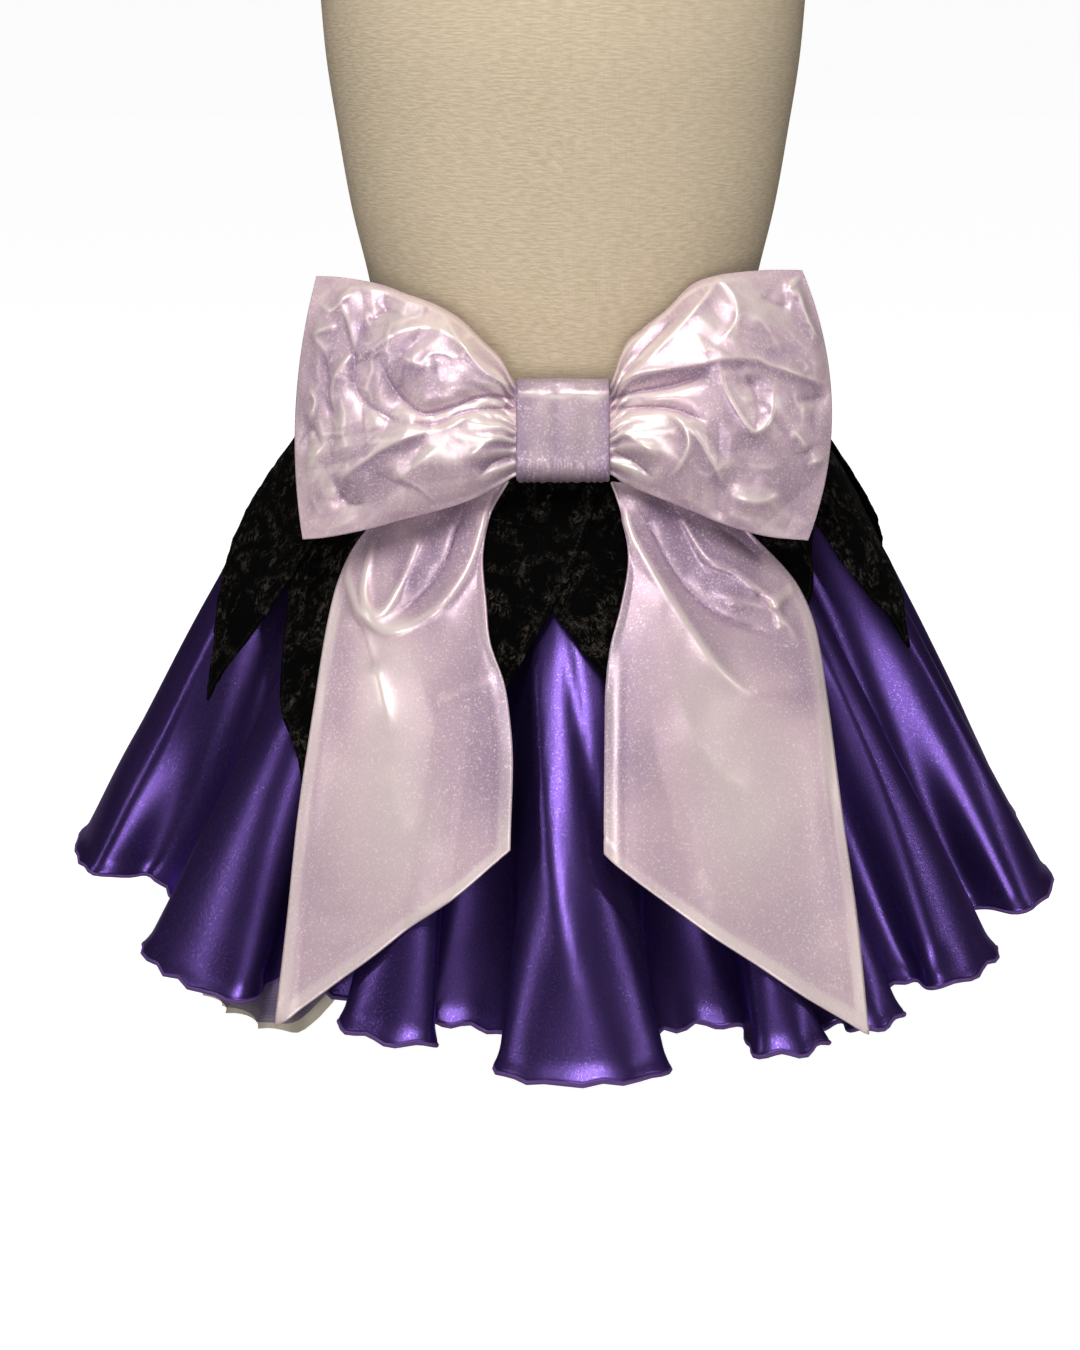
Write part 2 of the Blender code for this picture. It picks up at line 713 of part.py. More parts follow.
def bow_points(x, height, forward):
    """World points from a place in the bow's own leaning plane."""
    lean = math.radians(BOW_LEAN)
    x, height, forward = np.broadcast_arrays(x, height, forward)
    y = -BOW_FORWARD + height * math.sin(lean) - forward * math.cos(lean)
    z = WAIST_HEIGHT - BOW_DROP + height * math.cos(lean) + forward * math.sin(lean)
    return np.stack([x, y, z], axis=-1)


def make_knot():
    """The band wrapped round the middle of the bow, a flattened tube along X."""
    angle = np.linspace(0, 2 * np.pi, KNOT_COLUMNS, endpoint=False)
    ahead, up = np.cos(angle), np.sin(angle)
    forward = KNOT_HALF_DEPTH * np.sign(ahead) * np.abs(ahead) ** KNOT_SQUARENESS
    height = KNOT_HALF_HEIGHT * np.sign(up) * np.abs(up) ** KNOT_SQUARENESS
    rows = [bow_points(x, height, forward) for x in (-KNOT_HALF_WIDTH, 0.0, KNOT_HALF_WIDTH)]
    shell("bow_knot", np.array(rows), BOW_SATIN, LILAC_SATIN, closed=True)


def pleat_depth(pleats, across, section):
    """How far the pleats push a section's front in, at places across it from -1 to 1."""
    depth = np.zeros_like(across)
    for pleat in pleats:
        along = np.clip((section.middle - KNOT_HALF_WIDTH) / pleat.reach, 0, 1)
        place = pleat.start + (pleat.end - pleat.start) * along
        strength = (1 - along) * min(along * PLEAT_START_RATE, 1)
        depth += pleat.depth * strength * np.exp(-(((across - place) / pleat.width) ** 2))
    return depth


def loop_grid(sections, pleats, side):
    """Rings round a bow loop, from its mouth in the knot to its flat outer edge."""
    across = np.linspace(-1, 1, LOOP_POINTS)
    dome = 1 - np.abs(across) ** LOOP_FULLNESS
    rows = []
    for section in sections:
        half = (section.top - section.bottom) / 2
        height = (section.top + section.bottom) / 2 + half * across
        slope = (section.top_out - section.bottom_out) / 2
        bow_in = (section.top_out + section.bottom_out) / 2 - section.middle
        x = section.middle + slope * across + bow_in * across**2
        swept = LOOP_SWEEP * np.clip((x - KNOT_HALF_WIDTH) / LOOP_SWEEP_SPAN, 0, 1) ** 2
        puff = (section.puff - LOOP_EDGE) * dome
        front = LOOP_EDGE + puff + pleat_depth(pleats, across, section) * dome - swept
        back = -LOOP_EDGE - LOOP_BACK_PUFF * puff - swept
        ring = np.concatenate(
            [bow_points(side * x, height, front), bow_points(side * x, height, back)[::-1]]
        )
        rows.append(ring)
    return np.array(rows)


def make_loops():
    """The two puffed loops, each a bag that is open where it is gathered into the knot."""
    for name, sections, pleats, side in (
        ("bow_loop_left", LEFT_LOOP, LEFT_PLEATS, -1),
        ("bow_loop_right", RIGHT_LOOP, RIGHT_PLEATS, 1),
    ):
        grid = loop_grid(sections, pleats, side)
        if side < 0:
            grid = grid[:, ::-1]
        shell(name, grid, BOW_SATIN, LILAC_SATIN, closed=True, capped=True)


def drape_depth(x, drop, out):
    """How far forward a cloth lies that hangs over the skirt's crests, out from them, at a place
    seen from the front."""
    shares = np.linspace(0, 1, DRAPE_SAMPLES)
    falls = plain_profile(shares)[2] + shares**FOLD_GROWTH * (HEM_DIP_FRONT - CREST_LIFT)
    turn = np.degrees(np.arctan(x / DRAPE_FIRST_RADIUS))
    fall = drop
    for _ in range(DRAPE_STEPS):
        share = np.interp(fall, falls, shares)
        point = hanging_points(turn, share, crest_radius(place_of(turn)), -CREST_LIFT, out)
        turn = turn + np.degrees((x - point[..., 0]) / DRAPE_TURN_RADIUS)
        turn = np.clip(turn, -DRAPE_WIDEST_TURN, DRAPE_WIDEST_TURN)
        fall = fall + DRAPE_FALL_RATE * (drop - (WAIST_HEIGHT - point[..., 2]))
    return -point[..., 1]


def tail_grid(rows, side):
    """The inner face of a tail, drawn in front view and laid over the skirt's crests."""
    drops = column(rows, "drop")
    across = np.linspace(0, 1, TAIL_COLUMNS + 1)
    grid = []
    for level in np.linspace(0, 1, TAIL_ROWS + 1) ** TAIL_CROWDING:
        inner_drop = drops[0] + (TAIL_CORNER_DROP - drops[0]) * level
        outer_drop = drops[0] + (drops[-1] - drops[0]) * level
        drop = inner_drop + (outer_drop - inner_drop) * across
        inner = curve_through(drops, column(rows, "inner"), drop)
        outer = curve_through(drops, column(rows, "outer"), drop)
        x = side * (inner + (outer - inner) * across)
        fade = np.exp(-(((drop - drops[0]) / TAIL_PLEAT_FADE) ** 2))
        pleat = TAIL_PLEAT_DEPTH * fade * (0.5 - 0.5 * np.cos(2 * np.pi * TAIL_PLEATS * across))
        settled = np.interp(drop, (TAIL_SETTLE_START, TAIL_SETTLE_END), (0.0, 1.0))
        clearance = TAIL_CLEARANCE + (TAIL_HEM_CLEARANCE - TAIL_CLEARANCE) * settled
        y = -drape_depth(x, drop, clearance + pleat)
        grid.append(np.stack([x, y, WAIST_HEIGHT - drop], axis=-1))
    return np.array(grid)


def make_tails():
    """The two hanging ends of the bow, cut to a slant."""
    for name, rows, side in (
        ("bow_tail_left", LEFT_TAIL, -1),
        ("bow_tail_right", RIGHT_TAIL, 1),
    ):
        grid = tail_grid(rows, side)
        if side < 0:
            grid = grid[:, ::-1]
        shell(name, grid, TAIL_CLOTH, LILAC_SATIN, outward=True)


def main():
    """Builds every piece from the ground up."""
    for old in list(bpy.data.objects):
        bpy.data.objects.remove(old)
    make_stand()
    make_dress_form()
    make_neck_cap()
    make_waistband()
    make_petticoat()
    make_skirt()
    make_petals()
    make_knot()
    make_loops()
    make_tails()


main()
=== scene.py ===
"""Looks of a satin tutu skirt with velvet petals, a net petticoat and a large bow, on a dress form.

Lengths are metres, +Z is up and the bow faces -Y. The skirt's cloth is laid out by its turn, which
is the way a point faces in degrees from the bow (positive towards +X), and by its share of the
slant from waist to hem. The bow has a plane of its own, and its creases are placed in it.
"""

import logging
import math
from dataclasses import dataclass, replace
from enum import Enum

import bpy
import numpy as np
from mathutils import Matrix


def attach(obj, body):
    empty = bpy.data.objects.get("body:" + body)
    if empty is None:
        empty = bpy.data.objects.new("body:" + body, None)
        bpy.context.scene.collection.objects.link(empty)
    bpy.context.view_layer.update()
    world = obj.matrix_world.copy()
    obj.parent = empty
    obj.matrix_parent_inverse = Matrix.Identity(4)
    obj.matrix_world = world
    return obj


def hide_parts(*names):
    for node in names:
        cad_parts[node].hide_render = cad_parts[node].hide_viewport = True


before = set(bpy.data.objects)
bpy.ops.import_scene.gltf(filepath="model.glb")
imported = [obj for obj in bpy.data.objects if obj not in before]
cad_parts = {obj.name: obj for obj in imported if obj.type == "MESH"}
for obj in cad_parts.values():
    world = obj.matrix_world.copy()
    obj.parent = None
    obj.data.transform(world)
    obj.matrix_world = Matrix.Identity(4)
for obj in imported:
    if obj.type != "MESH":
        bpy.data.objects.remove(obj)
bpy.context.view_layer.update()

BODY = "root"
PLACES = "cloth_places"
EDGE = "edge_distance"
BAND = "seam_band"
# Name of the mark of painted highlight (above 0) and painted shade (below 0) on the bow's satin,
# which also makes its ridges less rough
PAINTED_LIGHT_MARK = "painted_shading"
MILLIMETRES = 1000.0
log = logging.getLogger("tutu")

Array = np.ndarray
Piece = bpy.types.Object
Material = bpy.types.Material
Group = bpy.types.NodeTree
Node = bpy.types.Node
Socket = bpy.types.NodeSocket
Colour = tuple[float, float, float]
Point2 = tuple[float, float]
Point3 = tuple[float, float, float]


class Side(Enum):
    """Left and right as someone sees them who looks at the bow."""

    LEFT = -1
    RIGHT = 1


class Facing(Enum):
    """Which way a cloth gets its thickness."""

    INWARD = -1.0
    OUTWARD = 1.0


# Tables, curves and noise


def table(kind: type, *rows: tuple[float, ...], unit: float = 1.0) -> tuple:
    """Return rows of numbers as items whose fields are the columns, divided by the unit."""
    return tuple(kind(*(number / unit for number in row)) for row in rows)


def column(rows: tuple, name: str) -> list[float]:
    """Return one named column of a table."""
    return [getattr(row, name) for row in rows]


def rows_between(start: float, end: float, steps: int) -> Array:
    """Return evenly spaced values down a grid, as one column."""
    return np.linspace(start, end, steps + 1)[:, None]


def columns_between(start: float, end: float, steps: int) -> Array:
    """Return evenly spaced values across a grid, as one row."""
    return np.linspace(start, end, steps + 1)[None, :]


def columns_round(whole: float, count: int) -> Array:
    """Return evenly spaced values round a closed grid, as one row."""
    return np.linspace(0, whole, count, endpoint=False)[None, :]


def curve_through(stops: Array, values: Array, at: Array) -> Array:
    """Read a smooth curve through values at stops.

    Args:
        stops: Where the values are, rising.
        values: The curve's height at each stop.
        at: Where to read it.

    Returns:
        The curve's height at each place asked for.
    """
    stops, values, at = (np.asarray(item, float) for item in (stops, values, at))
    slopes = np.gradient(values, stops)
    span = np.clip(np.searchsorted(stops, at, side="right") - 1, 0, len(stops) - 2)
    width = stops[span + 1] - stops[span]
    t = (at - stops[span]) / width
    low = values[span] * (1 + 2 * t) * (1 - t) ** 2 + slopes[span] * width * t * (1 - t) ** 2
    high = values[span + 1] * t**2 * (3 - 2 * t) + slopes[span + 1] * width * t**2 * (t - 1)
    return low + high


def read_table(rows: tuple, by: str, name: str, at: Array) -> Array:
    """Return one column of a table as a smooth curve over another, read at the places given."""
    return curve_through(column(rows, by), column(rows, name), at)


def smooth_step(value: Array) -> Array:
    """Return 0 at 0 and below, 1 at 1 and above, with an easy start and end."""
    value = np.clip(value, 0, 1)
    return value**2 * (3 - 2 * value)


def bell(away: Array, width: float) -> Array:
    """Return 1 where away is 0, falling off to both sides over the width."""
    return np.exp(-((away / width) ** 2))


def ripple(count: Array) -> Array:
    """Return 0 at whole counts and 1 half way between them."""
    return 0.5 - 0.5 * np.cos(2 * np.pi * count)


def turn_away(turn: Array, middle: float = 0.0) -> Array:
    """Return how many degrees a turn is to the +X side of a middle one, from -180 to 180."""
    return np.mod(np.asarray(turn) - middle + 180.0, 360.0) - 180.0


@dataclass
class Unevenness:
    """Smooth random height over a plane, the same on each run."""

    seed: int
    lattice: int = 96

    def __post_init__(self) -> None:
        """Draw the lattice of random heights."""
        self.heights = np.random.default_rng(self.seed).uniform(-1, 1, (self.lattice, self.lattice))

    def at(self, across: Array, down: Array, scale: float) -> Array:
        """Return heights from -1 to 1.

        Args:
            across: Places in metres one way.
            down: Places in metres the other way.
            scale: Size of one bump in metres.

        Returns:
            The height at each place.
        """
        u, v = across / scale, down / scale
        column_at, row_at = np.floor(u).astype(int), np.floor(v).astype(int)
        fu, fv = smooth_step(u - column_at), smooth_step(v - row_at)
        c0, c1 = column_at % self.lattice, (column_at + 1) % self.lattice
        r0, r1 = row_at % self.lattice, (row_at + 1) % self.lattice
        low = self.heights[r0, c0] * (1 - fu) + self.heights[r0, c1] * fu
        high = self.heights[r1, c0] * (1 - fu) + self.heights[r1, c1] * fu
        return low * (1 - fv) + high * fv

    def veins(self, across: Array, down: Array, scale: float, width: float = 0.24) -> Array:
        """Return thin wandering ridges that come and go.

        Args:
            across: Places in metres one way.
            down: Places in metres the other way.
            scale: Size of the flat places between ridges in metres.
            width: How wide a ridge is, as a share of the noise that it follows.

        Returns:
            Heights from 0 to 1.
        """
        wander = 0.35 * scale * self.at(down + 3.1, across, 0.4 * scale)
        line = np.clip(1 - np.abs(self.at(across + wander, down - wander, scale)) / width, 0, 1)
        here = smooth_step(0.5 + 0.9 * self.at(across + 2.7, down, 1.1 * scale))
        return here * line**1.6

    def crumple(self, across: Array, down: Array, scale: float, octaves: int = 3) -> Array:
        """Return the height of crumpled cloth: sharp ridges with smooth hollows between.

        Args:
            across: Places in metres one way.
            down: Places in metres the other way.
            scale: Size of the largest hollow in metres.
            octaves: How many sizes of crumple are added up.

        Returns:
            Heights from about -1 to 1.
        """
        height = np.zeros(np.shape(across))
        size, weight, total = scale, 1.0, 0.0
        for octave in range(octaves):
            for way in range(3):
                facing = 0.5 + 2.4 * (3 * octave + way)
                bend = 0.45 * size * self.at(across + 1.3 * way, down + 2.1 * octave, 1.5 * size)
                line = (math.cos(facing) * across + math.sin(facing) * down + bend) / size
                fold = np.sqrt((2 * np.abs(line % 1 - 0.5)) ** 2 + 0.006)
                shown = self.at(across + 4.1 * way, down + 0.7 * octave, 1.2 * size)
                height += weight * smooth_step(0.45 + 0.9 * shown) * (1 - 2 * fold)
                total += 0.6 * weight
            size *= 0.55
            weight *= 0.5
        return height / total


@dataclass(frozen=True)
class Crease:
    """A soft ridge or trough in a cloth, along a line in the cloth's own places in metres, or a
    streak of painted highlight or painted shade whose height is a tone.

    height is below 0 for a trough. width is on the side to the left of the line's way, and
    far_width on the other side, or the same where it is 0. keep is how much is left at each end,
    and fade is the share of the line that an end takes. softness is 0 for a sharp top.
    """

    path: tuple[Point2, ...]
    height: float
    width: float
    far_width: float = 0.0
    keep: Point2 = (0.0, 0.0)
    softness: float = 0.08
    fade: float = 0.3

    def depth(self, across: Array, down: Array) -> Array:
        """Return how far the crease moves the cloth at each place.

        Args:
            across: Places along the cloth's first direction.
            down: Places along its second direction.

        Returns:
            The move at each place, in metres.
        """
        stops = np.arange(len(self.path))
        fine = np.linspace(0, len(self.path) - 1, 8 * (len(self.path) - 1) + 1)
        xs, ys = (curve_through(stops, places, fine) for places in zip(*self.path))
        nearest = np.full(np.shape(across), np.inf)
        signed = np.zeros_like(nearest)
        along = np.zeros_like(nearest)
        for k in range(len(fine) - 1):
            dx, dy = xs[k + 1] - xs[k], ys[k + 1] - ys[k]
            length = math.hypot(dx, dy) + 1e-9
            px, py = across - xs[k], down - ys[k]
            t = np.clip((px * dx + py * dy) / length**2, 0, 1)
            away = np.hypot(px - t * dx, py - t * dy)
            closer = away < nearest
            nearest = np.where(closer, away, nearest)
            signed = np.where(closer, (dx * py - dy * px) / length, signed)
            along = np.where(closer, (k + t) / (len(fine) - 1), along)
        width = np.where(signed >= 0, self.width, self.far_width or self.width)
        start = self.keep[0] + (1 - self.keep[0]) * smooth_step(along / self.fade)
        end = self.keep[1] + (1 - self.keep[1]) * smooth_step((1 - along) / self.fade)
        reach = np.sqrt((nearest / width) ** 2 + self.softness**2) - self.softness
        return self.height * start * end * np.exp(-1.2 * reach)


def creases(*rows: tuple, tones: bool = False) -> tuple[Crease, ...]:
    """Return creases from a table in millimetres.

    Args:
        *rows: For each crease its path, as places across and down in turn, its height and its two
            widths. How much is kept at its ends and its softness may follow.
        tones: Whether the heights are tones of painted highlight and painted shade from -1 to 1
            instead.

    Returns:
        The creases in metres.
    """
    made = []
    for path, height, width, far_width, *rest in rows:
        places = [place / MILLIMETRES for place in path]
        points = tuple(zip(places[::2], places[1::2]))
        height = height if tones else height / MILLIMETRES
        made.append(Crease(points, height, width / MILLIMETRES, far_width / MILLIMETRES, *rest))
    return tuple(made)


def crease_depth(lines: tuple[Crease, ...], across: Array, down: Array) -> Array:
    """Return the sum of the creases' moves.

    Args:
        lines: The creases.
        across: Places along the cloth's first direction.
        down: Places along its second direction.

    Returns:
        The whole move at each place.
    """
    total = np.zeros(np.shape(across))
    for crease in lines:
        total = total + crease.depth(across, down)
    return total


def painted_shading(out: Array, across: Array, down: Array, sharp: float = 320.0) -> Array:
    """Return painted shading from how sharply a cloth bends: a painted highlight towards 1 on a
    ridge, and painted shade below 0 in a trough.

    Args:
        out: How far out each point of a grid lies.
        across: Its place one way in metres.
        down: Its place the other way in metres.
        sharp: Bend in 1/m that gives three quarters of the full tone.

    Returns:
        The tone at each point.
    """
    trough_shade_share = 0.55
    bend = np.zeros_like(out)
    for axis in (0, 1):
        gap = np.hypot(np.gradient(across, axis=axis), np.gradient(down, axis=axis)) + 1e-5
        bend -= (np.roll(out, 1, axis) + np.roll(out, -1, axis) - 2 * out) / gap**2
    bend[0] = bend[-1] = 0
    bend[:, 0] = bend[:, -1] = 0
    for _ in range(2):
        for axis in (0, 1):
            bend = 0.5 * bend + 0.25 * (np.roll(bend, 1, axis) + np.roll(bend, -1, axis))
    tone = np.tanh(bend / sharp)
    return np.where(tone < 0, trough_shade_share * tone, tone)


def painted_slope_shading(out: Array, across: Array, down: Array, steep: float = 0.42) -> Array:
    """Return painted shading from how a cloth's small planes face: painted highlight above 0 where
    they look up, painted shade below 0 where down.

    Args:
        out: How far out each point of a grid lies.
        across: Its place one way in metres.
        down: Its height in metres.
        steep: Slope that gives three quarters of the full tone.

    Returns:
        The tone at each point.
    """
    full_tone, rise_share, lean_share = 0.6, 0.8, 0.35
    rise = np.gradient(out, axis=1) / (np.gradient(down, axis=1) + 1e-6)
    lean = np.gradient(out, axis=0) / (np.gradient(across, axis=0) + 1e-6)
    return -full_tone * np.tanh((rise_share * rise + lean_share * lean) / steep)


# Meshes


def grid_normals(grid: Array) -> Array:
    """Return the unit normals of an open grid of points, to the side its faces look."""
    normal = np.cross(np.gradient(grid, axis=0), np.gradient(grid, axis=1))
    return normal / (np.linalg.norm(normal, axis=2, keepdims=True) + 1e-12)


def path_lengths(points: Array, axis: int) -> Array:
    """Return the length along a grid's rows or columns up to each point.

    Args:
        points: Points in rows and columns.
        axis: 0 for lengths down the columns, 1 for lengths along the rows.

    Returns:
        A length for each point, from 0.
    """
    steps = np.linalg.norm(np.diff(points, axis=axis), axis=2)
    start = np.zeros_like(np.take(steps, [0], axis=axis))
    return np.concatenate([start, np.cumsum(steps, axis=axis)], axis=axis)


def face_corners(grid: Array) -> Array:
    """Return what a grid holds at the four corners of each face, along a new third axis."""
    return np.stack([grid[:-1, :-1], grid[1:, :-1], grid[1:, 1:], grid[:-1, 1:]], axis=2)


def lay_cloth(
    name: str,
    grid: Array,
    closed: bool = False,
    capped: bool = False,
    marks: dict[str, Array] | None = None,
) -> Piece:
    """Make a mesh from a grid of points, with its cloth's places in metres as a UV map.

    Args:
        name: Name of the new piece.
        grid: Points in rows and columns.
        closed: Whether the last column meets the first.
        capped: Whether the last row of a closed grid is shut by joining its two halves.
        marks: Named values for each point, kept as attributes.

    Returns:
        The new piece.
    """
    rows, columns = grid.shape[:2]
    numbers = np.arange(rows * columns).reshape(rows, columns)
    wrapped = np.concatenate([numbers, numbers[:, :1]], axis=1) if closed else numbers
    around = np.concatenate([grid, grid[:, :1]], axis=1) if closed else grid
    places = np.stack([path_lengths(around, 1), path_lengths(around, 0)], axis=-1)
    quads = face_corners(wrapped).reshape(-1, 4)
    corners = face_corners(places).reshape(-1, 2)
    if capped:
        last, half = numbers[-1], columns // 2
        front, back = last[: half - 1], last[::-1][: half - 1]
        cap = np.stack([last[1:half], front, back, last[::-1][1:half]], axis=-1)
        quads = np.concatenate([quads, cap])
        corners = np.concatenate([corners, np.zeros((cap.size, 2))])
    mesh = bpy.data.meshes.new(name)
    mesh.vertices.add(rows * columns)
    mesh.vertices.foreach_set("co", grid.reshape(-1).astype(np.float32))
    mesh.loops.add(quads.size)
    mesh.loops.foreach_set("vertex_index", quads.reshape(-1).astype(np.int32))
    mesh.polygons.add(len(quads))
    mesh.polygons.foreach_set("loop_start", np.arange(0, quads.size, 4, dtype=np.int32))
    mesh.update(calc_edges=True)
    layer = mesh.uv_layers.new(name=PLACES)
    layer.uv.foreach_set("vector", corners.reshape(-1).astype(np.float32))
    for mark, values in (marks or {}).items():
        attribute = mesh.attributes.new(mark, "FLOAT", "POINT")
        attribute.data.foreach_set("value", np.ravel(values).astype(np.float32))
    mesh.shade_smooth()
    mesh.validate()
    piece = bpy.data.objects.new(name, mesh)
    bpy.context.scene.collection.objects.link(piece)
    return piece


def thicken(piece: Piece, thickness: float, facing: Facing) -> None:
    """Give a cloth its thickness.

    Args:
        piece: The cloth.
        thickness: How thick it is.
        facing: The side of its points that the thickness is on.
    """
    solidify = piece.modifiers.new("thickness", "SOLIDIFY")
    solidify.thickness = thickness
    solidify.offset = facing.value


def declare(piece: Piece, material: Material, node: str = "") -> None:
    """Dress a piece in its material and say where it belongs.

    Args:
        piece: The piece.
        material: What it is made of.
        node: The solid that it stands for, where it stands for one.
    """
    piece.data.materials.clear()
    piece.data.materials.append(material)
    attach(piece, BODY)
    if node:
        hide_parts(node)


def lathe(name: str, outline: tuple[Point2, ...], steps: int = 96) -> Piece:
    """Turn an outline of (radius, height) about the Z axis, with its corners rounded.

    Args:
        name: Name of the new piece.
        outline: Points from top to bottom; the first and last lie on the axis.
        steps: Columns round the piece.

    Returns:
        The new piece.
    """
    angle = columns_round(2 * np.pi, steps)
    radii, heights = (np.array(values)[:, None] for values in zip(*outline))
    radii = np.maximum(radii, 1e-5)
    grid = np.stack(
        [radii * np.sin(angle), -radii * np.cos(angle), heights + 0 * angle], axis=-1
    )
    piece = lay_cloth(name, grid, closed=True)
    bevel = piece.modifiers.new("rounding", "BEVEL")
    bevel.width = 0.0012
    bevel.segments = 3
    bevel.limit_method = "ANGLE"
    bevel.angle_limit = math.radians(25)
    return piece


def tube_along(name: str, line: Array, radius: float, sides: int = 8) -> Piece:
    """Lay a round thread along an open line of points.

    Args:
        name: Name of the new piece.
        line: Points of the thread's middle.
        radius: Its radius.
        sides: Faces round it.

    Returns:
        The new piece.
    """
    way = np.gradient(line, axis=0)
    way /= np.linalg.norm(way, axis=1, keepdims=True)
    first = np.cross(way, np.array([0.0, 0.0, 1.0]))
    first /= np.linalg.norm(first, axis=1, keepdims=True)
    second = np.cross(way, first)
    angle = columns_round(2 * np.pi, sides)[..., None]
    ring = first[:, None] * np.cos(angle) + second[:, None] * np.sin(angle)
    return lay_cloth(name, line[:, None] + radius * ring, closed=True)


# Shader nodes


class ShaderTree:
    """A node tree that nodes are added to and linked in."""

    def __init__(self, tree: Group) -> None:
        """Keep the tree."""
        self.tree = tree

    def feed(self, socket: Socket, value: object) -> None:
        """Link a socket's value, or set it where it is a number or a colour.

        Args:
            socket: The input to feed.
            value: What it gets.
        """
        if isinstance(value, bpy.types.NodeSocket):
            self.tree.links.new(value, socket)
        elif socket.type == "RGBA" and len(value) == 3:
            socket.default_value = (*value, 1.0)
        else:
            socket.default_value = value

    def fill(self, node: Node, **inputs: object) -> None:
        """Feed a node's inputs, with _ for a space in an input's name."""
        for name, value in inputs.items():
            self.feed(node.inputs[name.replace("_", " ")], value)

    def add(self, kind: str, settings: dict | None = None, **inputs: object) -> Node:
        """Add a node.

        Args:
            kind: Blender's name for the node's type, after ShaderNode.
            settings: The node's own settings.
            **inputs: Values or links for its sockets.

        Returns:
            The new node.
        """
        node = self.tree.nodes.new(f"ShaderNode{kind}")
        for name, value in (settings or {}).items():
            setattr(node, name, value)
        self.fill(node, **inputs)
        return node

    def calc(self, operation: str, *values: object) -> Socket:
        """Add a Math node.

        Args:
            operation: Blender's name for what it works out.
            *values: Values or links for its sockets.

        Returns:
            Its result.
        """
        node = self.add("Math", {"operation": operation})
        for socket, value in zip(node.inputs, values):
            self.feed(socket, value)
        return node.outputs[0]

    def times(self, first: object, second: object) -> Socket:
        """Return the product of two values."""
        return self.calc("MULTIPLY", first, second)

    def step(self, value: object, low: float, high: float) -> Socket:
        """Add a smooth step from 0 to 1.

        Args:
            value: What it is a step of.
            low: Where it starts.
            high: Where it ends.

        Returns:
            The step.
        """
        smooth = {"interpolation_type": "SMOOTHSTEP"}
        node = self.add("MapRange", smooth, Value=value, From_Min=low, From_Max=high)
        return node.outputs["Result"]

    def spread(self, value: object, to: Point2) -> Socket:
        """Return a value from 0 to 1 spread to another range."""
        node = self.add("MapRange", None, Value=value, To_Min=to[0], To_Max=to[1])
        return node.outputs["Result"]

    def blend(self, factor: object, first: object, second: object) -> Socket:
        """Return a mix of two colours.

        Args:
            factor: How much of the second there is, from 0 to 1.
            first: The first colour.
            second: The second colour.

        Returns:
            The mixed colour.
        """
        node = self.add("Mix", {"data_type": "RGBA"})
        factor_socket, first_colour, second_colour, mixed = 0, 6, 7, 2
        self.feed(node.inputs[factor_socket], factor)
        self.feed(node.inputs[first_colour], first)
        self.feed(node.inputs[second_colour], second)
        return node.outputs[mixed]

    def noise(
        self, at: object, scale: object, detail: float = 2.0, distortion: float = 0.0
    ) -> Socket:
        """Return a noise from 0 to 1 at the places given."""
        settings = {"Scale": scale, "Detail": detail, "Distortion": distortion}
        return self.add("TexNoise", None, Vector=at, **settings).outputs["Fac"]

    def stretched(self, at: object, scale: Point3) -> Socket:
        """Return places multiplied by a scale for each direction."""
        return self.add("Mapping", None, Vector=at, Scale=scale).outputs["Vector"]

    def parts(self, places: Socket) -> bpy.types.NodeOutputs:
        """Return the X, Y and Z of places as a node's outputs."""
        return self.add("SeparateXYZ", None, Vector=places).outputs

    def object_places(self) -> Socket:
        """Return the places of the piece in metres."""
        return self.add("TexCoord").outputs["Object"]

    def cloth_places(self) -> Socket:
        """Return the cloth's own places in metres."""
        return self.add("UVMap", {"uv_map": PLACES}).outputs["UV"]

    def mark(self, name: str) -> Socket:
        """Return a value kept for each point of the mesh."""
        return self.add("Attribute", {"attribute_name": name}).outputs["Fac"]

    def place(self, group: Group, **inputs: object) -> bpy.types.NodeOutputs:
        """Place a node group with its values and return its outputs."""
        return self.add("Group", {"node_tree": group}, **inputs).outputs

    def bump(self, height: object, distance: float, strength: float = 1.0) -> Socket:
        """Return the normal of a bumped surface."""
        node = self.add("Bump", None, Strength=strength, Distance=distance, Height=height)
        return node.outputs["Normal"]


def new_group(
    name: str, inputs: dict[str, float | None], *outputs: str
) -> tuple[ShaderTree, dict[str, Socket], Node]:
    """Start a shader node group.

    Args:
        name: The group's name.
        inputs: Each input's default number, or None for places.
        *outputs: The name of each output, all of them numbers.

    Returns:
        The group's tree, its input sockets by name, and the node to feed its outputs into.
    """
    tree = bpy.data.node_groups.new(name, "ShaderNodeTree")
    number, vector = "NodeSocketFloat", "NodeSocketVector"
    for label, default in inputs.items():
        kind = vector if default is None else number
        socket = tree.interface.new_socket(label, in_out="INPUT", socket_type=kind)
        if default is not None:
            socket.default_value = default
    for label in outputs:
        tree.interface.new_socket(label, in_out="OUTPUT", socket_type=number)
    entry = tree.nodes.new("NodeGroupInput")
    given = {label: entry.outputs[label] for label in inputs}
    return ShaderTree(tree), given, tree.nodes.new("NodeGroupOutput")


